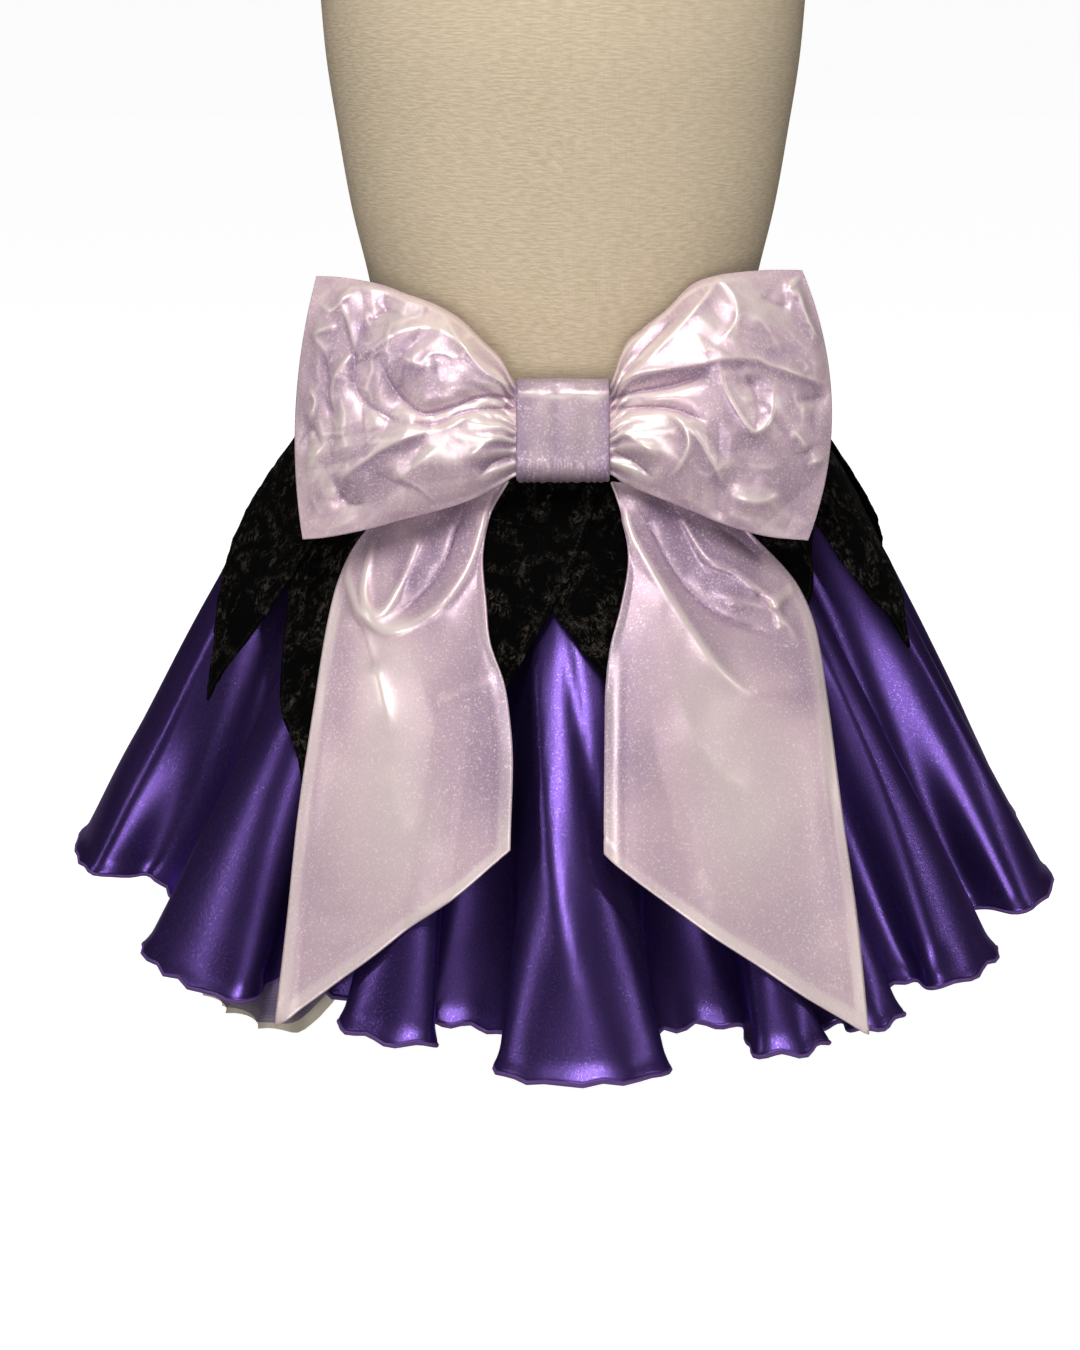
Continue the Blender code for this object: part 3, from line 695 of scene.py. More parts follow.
class SharedEffects:
    """The node groups that several materials use, each built once."""

    def __init__(self) -> None:
        """Build every group."""
        self.satin_grain = self.make_satin_grain()
        self.plain_weave = self.make_plain_weave()
        self.stitch_row = self.make_stitch_row()
        self.cloth_tone = self.make_cloth_tone()

    def make_satin_grain(self) -> Group:
        """Make the fine, curly grain that glints in satin.

        Returns:
            The group, which gives a mask of glints, painted into the satin's colour as painted
            glints, and a height.
        """
        inputs = {"Places": None, "Scale": 900.0, "Sharpness": 0.5}
        shader, given, end = new_group("satin_grain", inputs, "Glint", "Height")
        curls = shader.noise(given["Places"], given["Scale"], 1.0, 0.9)
        coarse = shader.noise(given["Places"], shader.times(given["Scale"], 0.13), 2.0)
        patch = shader.calc("MULTIPLY_ADD", shader.step(coarse, 0.35, 0.65), 0.4, 0.6)
        glint = shader.times(shader.step(curls, 0.52, 0.7), patch)
        shader.fill(end, Glint=shader.times(glint, given["Sharpness"]), Height=curls)
        return shader.tree

    def make_plain_weave(self) -> Group:
        """Make threads over and under each other, with slubs.

        Returns:
            The group, which gives a height and a shade.
        """
        inputs = {"Places": None, "Across": 700.0, "Down": 900.0, "Slub": 0.5}
        shader, given, end = new_group("plain_weave", inputs, "Height", "Shade")
        places = given["Places"]
        split = shader.parts(places)
        slub = shader.noise(shader.stretched(places, (140.0, 850.0, 1.0)), 1.0, 3.0, 0.4)
        warp_slub = shader.noise(shader.stretched(places, (620.0, 40.0, 1.0)), 1.0, 2.0, 0.3)
        warp, weft = (
            shader.calc("SINE", shader.times(split[way], shader.times(given[count], 2 * math.pi)))
            for way, count in (("X", "Across"), ("Y", "Down"))
        )
        cross = shader.times(warp, weft)
        uneven = shader.calc("ADD", shader.times(slub, 1.4), shader.times(warp_slub, 0.6))
        height = shader.calc("ADD", shader.times(cross, 0.06), shader.times(uneven, given["Slub"]))
        shader.fill(end, Height=height, Shade=shader.calc("MULTIPLY_ADD", cross, 0.02, slub))
        return shader.tree

    def make_stitch_row(self) -> Group:
        """Make a row of stitches at an inset from an edge.

        Returns:
            The group, which gives a mask.
        """
        inputs = {
            "Edge Distance": 0.0, "Along": 0.0, "Inset": 0.002, "Width": 0.0006, "Pitch": 0.003
        }
        shader, given, end = new_group("stitch_row", inputs, "Mask")
        away = shader.calc("SUBTRACT", given["Edge Distance"], given["Inset"])
        near = shader.times(given["Width"], 0.5)
        band = shader.calc("LESS_THAN", shader.calc("ABSOLUTE", away), near)
        beat = shader.calc("FRACT", shader.calc("DIVIDE", given["Along"], given["Pitch"]))
        shader.fill(end, Mask=shader.times(band, shader.calc("LESS_THAN", beat, 0.6)))
        return shader.tree

    def make_cloth_tone(self) -> Group:
        """Make broad, cloudy changes of tone over a cloth.

        Returns:
            The group, which gives a tone from 0 to 1.
        """
        shader, given, end = new_group("cloth_tone", {"Places": None, "Scale": 14.0}, "Tone")
        cloud = shader.noise(given["Places"], given["Scale"], 3.0, 0.6)
        shader.fill(end, Tone=shader.step(cloud, 0.3, 0.7))
        return shader.tree


EFFECTS = SharedEffects()


def new_material(name: str) -> tuple[Material, ShaderTree, Node]:
    """Start a material.

    Args:
        name: The material's name.

    Returns:
        The material, its tree and its Principled shader.
    """
    material = bpy.data.materials.new(name)
    material.use_nodes = True
    shader = material.node_tree.nodes["Principled BSDF"]
    return material, ShaderTree(material.node_tree), shader


@dataclass(frozen=True)
class Satin:
    """A glossy satin: its colours, how it shines, its grain and how much its marks colour it.

    deep clouds the colour at random, glint is the colour of painted highlights on ridges, of
    painted glints in the grain and of the paler seam band, and hollow is the colour of painted
    shade in troughs.
    """

    name: str
    colour: Colour
    deep: Colour
    glint: Colour
    hollow: Colour
    metallic: float
    roughness: float
    specular: float
    tint: Colour
    grain_scale: float
    grain_depth: float = 0.00006
    grain_sharpness: float = 0.6
    cloud_scale: float = 11.0
    ridge_highlight_share: float = 0.85
    trough_shade_share: float = 0.75
    band_share: float = 0.75
    shiny_roughness: float = 0.6

    def material(self) -> Material:
        """Make the satin.

        Returns:
            Its material.
        """
        material, tree, shader = new_material(self.name)
        places = tree.object_places()
        tone = tree.place(EFFECTS.cloth_tone, Places=places, Scale=self.cloud_scale)["Tone"]
        grain = tree.place(
            EFFECTS.satin_grain,
            Places=places,
            Scale=self.grain_scale,
            Sharpness=self.grain_sharpness,
        )
        # Painted highlight on ridges in the glint colour and painted shade in troughs in the hollow
        # colour, from the painted-light mark; ridges are also less rough
        bend = tree.mark(PAINTED_LIGHT_MARK)
        ridge = tree.spread(bend, (0.0, self.ridge_highlight_share))
        trough = tree.spread(tree.times(bend, -1.0), (0.0, self.trough_shade_share))
        colour = tree.blend(tone, self.deep, self.colour)
        colour = tree.blend(tree.times(tree.mark(BAND), self.band_share), colour, self.glint)
        colour = tree.blend(trough, tree.blend(ridge, colour, self.glint), self.hollow)
        shiny = tree.calc("MAXIMUM", grain["Glint"], ridge)
        # The grain's glints are painted into the colour as painted glints
        tree.fill(
            shader,
            Base_Color=tree.blend(grain["Glint"], colour, self.glint),
            Roughness=tree.spread(shiny, (self.roughness, self.roughness * self.shiny_roughness)),
            Normal=tree.bump(grain["Height"], self.grain_depth),
            Metallic=self.metallic,
            Specular_IOR_Level=self.specular,
            Specular_Tint=self.tint,
        )
        return material


@dataclass(frozen=True)
class CrushedVelvet:
    """Velvet whose pile lies every way in patches, so that some of them glint; the glints are
    painted into its colour.
    """

    name: str
    pile: Colour
    lit: Colour
    thread: Colour
    patch_scale: float = 46.0
    streak_scale: float = 230.0
    grain_scale: float = 1400.0
    nap_depth: float = 0.0016
    nap_strength: float = 0.9
    roughness: float = 0.9
    lit_roughness: float = 0.42
    specular: float = 0.05
    stitch_inset: float = 0.0026
    stitch_width: float = 0.0007
    stitch_pitch: float = 0.0032

    def material(self) -> Material:
        """Make the velvet, with the stitches of its narrow hem.

        Returns:
            Its material.
        """
        material, tree, shader = new_material(self.name)
        places = tree.object_places()
        patches = tree.step(tree.noise(places, self.patch_scale, 3.0, 1.6), 0.44, 0.66)
        lying = tree.stretched(places, (1.0, 1.0, 0.45))
        streaks = tree.step(tree.noise(lying, self.streak_scale, 3.0, 1.8), 0.44, 0.64)
        grain = tree.step(tree.noise(places, self.grain_scale, 1.0), 0.35, 0.7)
        fibres = tree.times(streaks, tree.calc("MULTIPLY_ADD", grain, 0.75, 0.25))
        lit = tree.times(patches, fibres)
        stitches = tree.place(
            EFFECTS.stitch_row,
            Edge_Distance=tree.mark(EDGE),
            Along=tree.parts(tree.cloth_places())["Y"],
            Inset=self.stitch_inset,
            Width=self.stitch_width,
            Pitch=self.stitch_pitch,
        )
        # The lit colour is painted glint on the patches and streaks of the crushed pile
        colour = tree.blend(lit, self.pile, self.lit)
        height = tree.calc("ADD", patches, tree.times(streaks, 0.4))
        tree.fill(
            shader,
            Base_Color=tree.blend(stitches["Mask"], colour, self.thread),
            Normal=tree.bump(height, self.nap_depth, self.nap_strength),
            Roughness=tree.spread(lit, (self.roughness, self.lit_roughness)),
            Specular_IOR_Level=self.specular,
        )
        return material


@dataclass(frozen=True)
class Woven:
    """A plain woven cover: its colour, that of its slubs, and its thread counts a metre."""

    name: str
    colour: Colour
    slub: Colour
    across: float
    down: float
    unevenness: float
    depth: float
    roughness: float
    cloud_scale: float = 9.0
    cloud_shade: float = 0.94
    cloud_share: float = 0.25
    dulling: float = 0.08

    def material(self) -> Material:
        """Make the woven cloth.

        Returns:
            Its material.
        """
        material, tree, shader = new_material(self.name)
        round_it = tree.parts(tree.cloth_places())["X"]
        height = tree.parts(tree.object_places())["Z"]
        weave = tree.place(
            EFFECTS.plain_weave,
            Places=tree.add("CombineXYZ", None, X=round_it, Y=height).outputs["Vector"],
            Across=self.across,
            Down=self.down,
            Slub=self.unevenness,
        )
        places = tree.object_places()
        tone = tree.place(EFFECTS.cloth_tone, Places=places, Scale=self.cloud_scale)["Tone"]
        shade = tree.step(weave["Shade"], 0.3, 0.72)
        colour = tree.blend(shade, self.slub, self.colour)
        darker = tuple(self.cloud_shade * c for c in self.colour)
        dull = min(1.0, self.roughness + self.dulling)
        tree.fill(
            shader,
            Base_Color=tree.blend(tree.times(tone, self.cloud_share), colour, darker),
            Normal=tree.bump(weave["Height"], self.depth),
            Roughness=tree.spread(shade, (dull, self.roughness)),
        )
        return material


@dataclass(frozen=True)
class FineNet:
    """A fine see-through net: its colour, mesh size and how much of it the threads fill."""

    name: str
    colour: Colour
    cell: float
    thread: float
    veil: float
    cloud_scale: float = 16.0
    cloud_shade: float = 0.75
    roughness: float = 0.55

    def material(self) -> Material:
        """Make the net, with threads in three directions.

        Returns:
            Its material.
        """
        material, tree, shader = new_material(self.name)
        split = tree.parts(tree.cloth_places())
        x, y = (tree.calc("DIVIDE", split[way], self.cell) for way in "XY")
        lines = 0.0
        for way in (x, tree.calc("ADD", x, y), tree.calc("SUBTRACT", x, y)):
            beat = tree.calc("ABSOLUTE", tree.calc("SUBTRACT", tree.calc("FRACT", way), 0.5))
            lines = tree.calc("MAXIMUM", lines, tree.calc("LESS_THAN", beat, 0.5 * self.thread))
        places = tree.object_places()
        tone = tree.place(EFFECTS.cloth_tone, Places=places, Scale=self.cloud_scale)["Tone"]
        deep = tuple(self.cloud_shade * c for c in self.colour)
        tree.fill(
            shader,
            Alpha=tree.spread(lines, (self.veil, 1.0)),
            Base_Color=tree.blend(tone, deep, self.colour),
            Roughness=self.roughness,
        )
        return material


@dataclass(frozen=True)
class SergingThread:
    """The thread wound over a hem: its colour alternates along it with a darker one, painted shade
    in the grooves between its windings.
    """

    name: str
    colour: Colour
    dark: Colour
    pitch: float
    slant: float = 0.5
    depth: float = 0.0005

    def material(self) -> Material:
        """Make the thread.

        Returns:
            Its material.
        """
        material, tree, shader = new_material(self.name)
        split = tree.parts(tree.cloth_places())
        slanted = tree.calc("MULTIPLY_ADD", split["X"], self.slant, split["Y"])
        beat = tree.calc("FRACT", tree.calc("DIVIDE", slanted, self.pitch))
        wave = tree.calc("SINE", tree.times(beat, math.pi))
        # The dark colour is painted shade where the bump is low, between the windings
        tree.fill(
            shader,
            Base_Color=tree.blend(wave, self.dark, self.colour),
            Normal=tree.bump(wave, self.depth),
            Roughness=tree.spread(wave, (0.7, 0.42)),
        )
        return material


@dataclass(frozen=True)
class StainedWood:
    """Dark varnished wood with its grain round the turned piece."""

    name: str
    colour: Colour
    dark: Colour
    stretch: Point3 = (6.0, 60.0, 60.0)
    grain_depth: float = 0.0002
    varnish: float = 0.35
    varnish_roughness: float = 0.18

    def material(self) -> Material:
        """Make the wood.

        Returns:
            Its material.
        """
        material, tree, shader = new_material(self.name)
        grain = tree.noise(tree.stretched(tree.object_places(), self.stretch), 1.6, 5.0, 1.2)
        tree.fill(
            shader,
            Base_Color=tree.blend(tree.step(grain, 0.36, 0.62), self.dark, self.colour),
            Roughness=tree.spread(grain, (0.26, 0.42)),
            Normal=tree.bump(grain, self.grain_depth),
            Coat_Weight=self.varnish,
            Coat_Roughness=self.varnish_roughness,
        )
        return material


@dataclass(frozen=True)
class BrushedSteel:
    """Steel brushed round the pole."""

    name: str
    colour: Colour
    stretch: Point3 = (30.0, 30.0, 900.0)
    dull_share: float = 0.8

    def material(self) -> Material:
        """Make the steel.

        Returns:
            Its material.
        """
        material, tree, shader = new_material(self.name)
        brushed = tree.noise(tree.stretched(tree.object_places(), self.stretch), 1.0, 2.0)
        dull = tuple(self.dull_share * c for c in self.colour)
        tree.fill(
            shader,
            Base_Color=tree.blend(brushed, dull, self.colour),
            Roughness=tree.spread(brushed, (0.22, 0.4)),
            Metallic=1.0,
        )
        return material


# In each satin, glint is the colour of painted highlights and painted glints, and hollow that of
# painted shade in troughs
PURPLE_SATIN = Satin(
    "purple_satin",
    colour=(0.089, 0.047, 0.21),
    deep=(0.07, 0.036, 0.175),
    glint=(0.17, 0.112, 0.345),
    hollow=(0.044, 0.021, 0.112),
    metallic=0.86,
    roughness=0.33,
    specular=0.5,
    tint=(0.8, 0.62, 1.0),
    grain_scale=1100.0,
)
LILAC_SATIN = Satin(
    "lilac_satin",
    colour=(0.7, 0.505, 0.56),
    deep=(0.59, 0.42, 0.5),
    glint=(0.99, 0.85, 0.79),
    hollow=(0.29, 0.185, 0.32),
    metallic=0.26,
    roughness=0.43,
    specular=0.55,
    tint=(1.0, 0.95, 0.9),
    grain_scale=760.0,
)
# A darker copy of the lilac satin for the knot, which is the same cloth as the loops: painted shade
SHADED_KNOT_SATIN = replace(
    LILAC_SATIN,
    name="knot_satin",
    colour=(0.47, 0.35, 0.385),
    deep=(0.4, 0.29, 0.35),
    glint=(0.84, 0.68, 0.68),
    metallic=0.18,
)
BLACK_VELVET = CrushedVelvet(
    "black_crushed_velvet",
    pile=(0.0008, 0.0007, 0.0006),
    lit=(0.064, 0.053, 0.042),
    thread=(0.014, 0.012, 0.011),
)
CREAM_LINEN = Woven(
    "cream_linen", (0.72, 0.595, 0.43), (0.56, 0.45, 0.3), 900.0, 800.0, 0.8, 0.0003, 0.86
)
BLACK_ELASTIC = Woven(
    "black_elastic", (0.012, 0.011, 0.012), (0.004, 0.004, 0.004), 300.0, 700.0, 0.2, 0.0004, 0.8
)
PURPLE_NET = FineNet("purple_net", (0.06, 0.032, 0.12), 0.0021, 0.22, 0.42)
GREY_NET = FineNet("grey_net", (0.6, 0.52, 0.41), 0.0019, 0.3, 0.95)
# The serging's dark colour is painted shade between its windings
PURPLE_THREAD = SergingThread("purple_serging", (0.18, 0.08, 0.33), (0.05, 0.022, 0.12), 0.0016)
DARK_WOOD = StainedWood("dark_wood", (0.17, 0.095, 0.055), (0.07, 0.038, 0.022))
STAND_STEEL = BrushedSteel("stand_steel", (0.55, 0.55, 0.56))

# The skirt's form, which the petals, the petticoat and the bow's tails follow


@dataclass(frozen=True)
class Level:
    """A ring of the plain skirt: share of the slant, spread off the waist, press in front, drop."""

    share: float
    spread: float
    press: float
    drop: float


@dataclass(frozen=True)
class Fold:
    """A fold: the turns of its crest and of the valley after it, and their radii at the hem."""

    crest: float
    crest_radius: float
    valley: float
    valley_radius: float


LEVELS = table(
    Level,
    (0, 0.0031, 0, 0.0263),
    (0.05, 0.019, 0.0125, 0.035),
    (0.13, 0.041, 0.0275, 0.052),
    (0.2, 0.0585, 0.037, 0.074),
    (0.3, 0.081, 0.037, 0.106),
    (0.48, 0.119, 0.024, 0.17),
    (0.74, 0.168, 0.008, 0.26),
    (1, 0.215, 0, 0.35),
)
FOLDS = table(
    Fold,
    (1.5, 0.355, 13.5, 0.278),
    (20, 0.347, 24.5, 0.309),
    (29, 0.344, 34.5, 0.298),
    (44.5, 0.339, 55.5, 0.286),
    (69, 0.34, 83, 0.284),
    (98, 0.328, 110, 0.284),
    (121, 0.338, 131, 0.284),
    (143, 0.332, 154, 0.288),
    (166, 0.34, 176, 0.284),
    (189, 0.334, 200, 0.29),
    (211, 0.341, 223, 0.284),
    (236, 0.334, 246, 0.288),
    (257, 0.336, 268, 0.29),
    (275.5, 0.342, 299.5, 0.278),
    (320, 0.33, 332.5, 0.268),
    (344.5, 0.322, 349.5, 0.272),
)


@dataclass(frozen=True)
class SkirtForm:
    """How cloth hangs from the waist: its plain rings, its folds and how it is pressed in front."""

    waist_height: float = 0.43
    waist_half_width: float = 0.122
    waist_half_depth: float = 0.094
    slant: float = 0.405
    growth_power: float = 1.3
    lean: float = 0.075
    hem_lean: float = 0.06
    hem_lean_start: float = 0.6
    crest_sharpness: float = 0.26
    middle_depth: float = 0.32
    crest_lift: float = 0.005
    dip_front: float = 0.012
    dip_back: float = 0.006
    press_full_turn: float = 35.0
    press_end_turn: float = 82.0
    press_behind: float = 0.4
    slope_step: float = 0.01
    top_radius: float = 0.112
    radius_growth: float = 0.215

    def plain(self, share: Array) -> tuple[Array, Array, Array]:
        """Return spread, press and drop of the plain skirt at a share of its slant."""
        names = ("spread", "press", "drop")
        return tuple(read_table(LEVELS, "share", name, share) for name in names)

    def waist_reach(self, turn: Array) -> Array:
        """Return how far the waist's ellipse reaches out towards a turn."""
        x, y = self.waist_half_width * np.sin(np.radians(turn)), np.cos(np.radians(turn))
        return np.hypot(x, self.waist_half_depth * y)

    def waist_point(self, turn: Array, spread: Array) -> tuple[Array, Array]:
        """Find the waist's point that faces a turn.

        Args:
            turn: The way it faces.
            spread: How far the point is moved out.

        Returns:
            Its X and its Y.
        """
        facing = np.radians(turn)
        reach = self.waist_reach(turn)
        x = np.sin(facing) * (self.waist_half_width**2 / reach + spread)
        y = -np.cos(facing) * (self.waist_half_depth**2 / reach + spread)
        return x, y

    def press_weight(self, turn: Array) -> Array:
        """Weigh the press.

        Args:
            turn: The way a point faces.

        Returns:
            How much of the press it takes.
        """
        away = np.abs(turn_away(turn))
        span = self.press_end_turn - self.press_full_turn
        front = smooth_step((self.press_end_turn - away) / span)
        back = smooth_step((away - (180.0 - self.press_end_turn)) / span)
        return front + self.press_behind * back

    def around(
        self, start: float, values: list[float], whole: float = 0.0
    ) -> tuple[Array, Array]:
        """Repeat evenly spaced values three times round, so that a curve through them joins up.

        Args:
            start: Place of the first value in the count of folds.
            values: The values of one time round.
            whole: How much a value grows in one time round.

        Returns:
            The places in the count of folds and the value at each.
        """
        laps = np.arange(-1, 2)[:, None]
        places = start + laps * len(FOLDS) + np.arange(len(values)) * (len(FOLDS) / len(values))
        return places.ravel(), (laps * whole + np.array(values)).ravel()

    def fold_turns(self) -> tuple[Array, Array]:
        """Return the places of crests and valleys in the count of folds, and their turns."""
        turns = [turn for fold in FOLDS for turn in (fold.crest, fold.valley)]
        return self.around(0.0, turns, 360.0)

    def turn_of(self, place: Array) -> Array:
        """Return the turn at a place in the count of folds, whole at a crest."""
        return curve_through(*self.fold_turns(), place)

    def place_of(self, turn: Array) -> Array:
        """Return the place in the count of folds that faces a turn."""
        places, turns = self.fold_turns()
        return np.interp(turn, turns, places)

    def crest_radius(self, place: Array) -> Array:
        """Return the hem radius of a line over the crests."""
        return curve_through(*self.around(0.0, column(FOLDS, "crest_radius")), place)

    def valley_radius(self, place: Array) -> Array:
        """Return the hem radius of a line along the valleys."""
        return curve_through(*self.around(0.5, column(FOLDS, "valley_radius")), place)

    def hem_dip(self, turn: Array) -> Array:
        """Return how much lower the hem hangs before and behind than at the sides."""
        facing = np.cos(np.radians(turn))
        return np.where(facing > 0, self.dip_front, self.dip_back) * facing**2

    def hang(
        self,
        turn: Array,
        share: Array,
        hem_radius: Array,
        lower: Array = 0.0,
        out: Array = 0.0,
    ) -> Array:
        """Return points of a cloth that hangs from the waist.

        Args:
            turn: The way each point faces.
            share: Its share of the slant.
            hem_radius: How far the hem is from the middle there.
            lower: How far the hem drops below the plain one.
            out: How far the points lie off the surface, square to its slope.

        Returns:
            The points in metres.
        """
        press = self.press_weight(turn)
        spread, pressed, drop = self.plain(share)
        growth = share**self.growth_power
        widening = hem_radius - self.waist_reach(turn) - LEVELS[-1].spread
        next_share = np.minimum(share + self.slope_step, 1)
        last_share = np.maximum(share - self.slope_step, 0)
        ahead, pressed_ahead, below = self.plain(next_share)
        behind, pressed_behind, above = self.plain(last_share)
        run = ahead - behind - press * (pressed_ahead - pressed_behind)
        run = run + widening * (next_share**self.growth_power - last_share**self.growth_power)
        fall = below - above
        length = np.hypot(run, fall)
        spread = spread - press * pressed + growth * widening + out * fall / length
        drop = drop + growth * (self.hem_dip(turn) + lower) - out * run / length
        x, y = self.waist_point(turn, spread)
        return np.stack([x, y, self.waist_height - drop], axis=-1)

    def cloth(self, place: Array, share: Array, follow: float = 1.0, out: Array = 0.0) -> Array:
        """Return points of the skirt's outer face.

        Args:
            place: Place in the count of folds.
            share: Share of the slant.
            follow: How much of the folds' depth is kept.
            out: How far the points lie off the face.

        Returns:
            The points in metres.
        """
        place, share = np.broadcast_arrays(np.asarray(place, float), np.asarray(share, float))
        wave = self.fold_wave(place, share)
        radius = self.fold_radius(place, share, follow)
        pitch = self.turn_of(place + 0.5) - self.turn_of(place - 0.5)
        near_hem = smooth_step((share - self.hem_lean_start) / (1 - self.hem_lean_start))
        lean = self.lean + self.hem_lean * near_hem
        sway = follow * lean * pitch * np.sin(4 * np.pi * place) * share**self.growth_power
        lift = self.crest_lift * (2 * follow * wave - 1)
        return self.hang(self.turn_of(place) + sway, share, radius, lift, out)

    def fold_wave(self, place: Array, share: Array) -> Array:
        """Return 0 on the crests and 1 in the valleys."""
        return ripple(place) ** (1 - self.crest_sharpness * (1 - share))

    def fold_radius(self, place: Array, share: Array, follow: float = 1.0) -> Array:
        """Return the hem radius that the folds head for.

        Args:
            place: Place in the count of folds.
            share: Share of the slant, which sets how deep they are.
            follow: How much of their depth is kept.

        Returns:
            The radius at each place.
        """
        crest, valley = self.crest_radius(place), self.valley_radius(place)
        depth = (crest - valley) * self.deepening(share)
        return crest - follow * self.fold_wave(place, share) * depth

    def deepening(self, share: Array) -> Array:
        """Return how much deeper the folds are half way down than they would grow by themselves."""
        return 1 + self.middle_depth * 4 * share * (1 - share)

    def metres_round(self, turn: Array, share: Array) -> Array:
        """Return the distance round the skirt to a turn, at the width of its share."""
        return np.radians(turn) * (self.top_radius + self.radius_growth * share)


FORM = SkirtForm()


@dataclass(frozen=True)
class FineFold:
    """A narrow ridge down the satin: turns at its top and foot, shares, height and width."""

    top_turn: float
    foot_turn: float
    top_share: float
    foot_share: float
    height: float
    width: float

    def crease(self) -> Crease:
        """Make the ridge.

        Returns:
            It as a crease, in metres round and down the skirt.
        """
        shares = np.linspace(self.top_share, self.foot_share, 4)
        turns = np.linspace(self.top_turn, self.foot_turn, 4)
        path = tuple(zip(FORM.metres_round(turns, shares), FORM.slant * shares))
        return Crease(path, self.height, self.width, keep=(0.0, 0.6))


FINE_FOLDS = table(
    FineFold,
    (-4, 2.6, 0.3, 1, 0.0074, 0.009),
    (3.2, 8.6, 0.38, 0.88, 0.0054, 0.006),
    (-0.2, 5.6, 0.34, 0.92, -0.004, 0.0055),
    (-7.5, -8, 0.5, 1, -0.004, 0.008),
    (10, 10.5, 0.6, 1, -0.0034, 0.007),
    (14, 16.5, 0.66, 1, 0.0026, 0.005),
    (-22, -21, 0.6, 1, 0.0028, 0.006),
    (-46, -43, 0.45, 1, 0.003, 0.007),
    (-62, -60, 0.4, 0.98, 0.0026, 0.006),
    (-76, -78, 0.38, 1, 0.0028, 0.0065),
    (52, 50, 0.36, 1, 0.003, 0.006),
    (43, 42, 0.4, 0.94, 0.0026, 0.0055),
    (66, 69, 0.42, 1, 0.0028, 0.0065),
    (78, 76, 0.5, 1, -0.0024, 0.006),
    (102, 99, 0.44, 1, 0.003, 0.0065),
    (124, 122, 0.46, 1, 0.0028, 0.006),
    (147, 145, 0.4, 0.95, 0.0026, 0.006),
    (168, 165, 0.42, 1, 0.003, 0.0065),
    (192, 188, 0.44, 1, 0.0028, 0.006),
    (214, 212, 0.4, 1, 0.0026, 0.0055),
    (233, 237, 0.46, 0.96, 0.003, 0.0065),
    (255, 258, 0.42, 1, 0.0028, 0.006),
)


@dataclass
class SatinSkirt:
    """The two half-circle satin panels and the thread wound over their hem."""

    fold_columns: int = 44
    rows: int = 84
    row_crowding: float = 1.15
    thickness: float = 0.0009
    side_seams: Point2 = (4.5, 12.5)
    middle_turn: float = 85.0
    flutter: float = 0.003
    flutter_length: float = 0.026
    flutter_reach: float = 0.015
    side_flutter: float = 0.4
    scallop: float = 0.0031
    hem_roll: float = 0.0022
    hem_roll_reach: float = 0.006
    softness: float = 0.0009
    softness_size: float = 0.05
    thread_radius: float = 0.0013
    thread_sink: float = 0.4

    def panel_points(self, start: float, end: float) -> Array:
        """Lay out one panel's outer face.

        Args:
            start: Place of its first side seam in the count of folds.
            end: Place of its other side seam.

        Returns:
            Its points in rows and columns.
        """
        place = columns_between(start, end, round((end - start) * self.fold_columns))
        share = 1 - (1 - rows_between(0, 1, self.rows)) ** self.row_crowding
        grid = FORM.cloth(place, share)
        turn, share = np.broadcast_arrays(FORM.turn_of(place), share)
        turned = turn_away(turn, self.middle_turn) + self.middle_turn
        round_it, slope = FORM.metres_round(turned, share), FORM.slant * share
        ridges = tuple(fold.crease() for fold in FINE_FOLDS)
        fine = crease_depth(ridges, round_it, slope)
        behind = crease_depth(ridges, round_it + FORM.metres_round(360.0, share), slope)
        hem = FORM.slant * (1 - share)
        near_hem = bell(hem, self.flutter_reach)
        length = path_lengths(grid, 1)[-1:] + 0 * share
        drift = 1.1 * Unevenness(41).at(length, 0 * slope, 2.2 * self.flutter_length)
        size = 0.85 + 0.35 * Unevenness(44).at(length + 5, 0 * slope, 3.0 * self.flutter_length)
        size = size * (0.25 + 0.75 * np.cos(2 * np.pi * place) ** 2)
        front_share = (1 - self.side_flutter) * np.cos(np.radians(turn)) ** 2
        size = size * (self.side_flutter + front_share)
        wind = size * np.sin(2 * np.pi * length / self.flutter_length + 2 * drift)
        soft = Unevenness(42).at(round_it, 0.35 * slope, self.softness_size)
        moved = fine + behind + self.flutter * wind * near_hem
        moved = moved + self.hem_roll * bell(hem, self.hem_roll_reach)
        moved = moved + self.softness * soft * smooth_step((share - 0.25) / 0.3)
        grid = grid + moved[..., None] * grid_normals(grid)
        grid[..., 2] -= self.scallop * wind * near_hem
        return grid

    def build(self) -> list[Piece]:
        """Returns:
            The panels and the threads.
        """
        first, second = self.side_seams
        satin, thread = PURPLE_SATIN.material(), PURPLE_THREAD.material()
        made = []
        for node, start, end in (
            ("skirt_front", second - len(FOLDS), first),
            ("skirt_back", first, second),
        ):
            grid = self.panel_points(start, end)
            panel = lay_cloth(f"{node}_satin", grid)
            thicken(panel, self.thickness, Facing.INWARD)
            declare(panel, satin, node)
            hem = grid[-1] - self.thread_sink * self.thread_radius * grid_normals(grid)[-1]
            serging = tube_along(f"{node}_serging", hem, self.thread_radius)
            declare(serging, thread)
            made += [panel, serging]
        return made


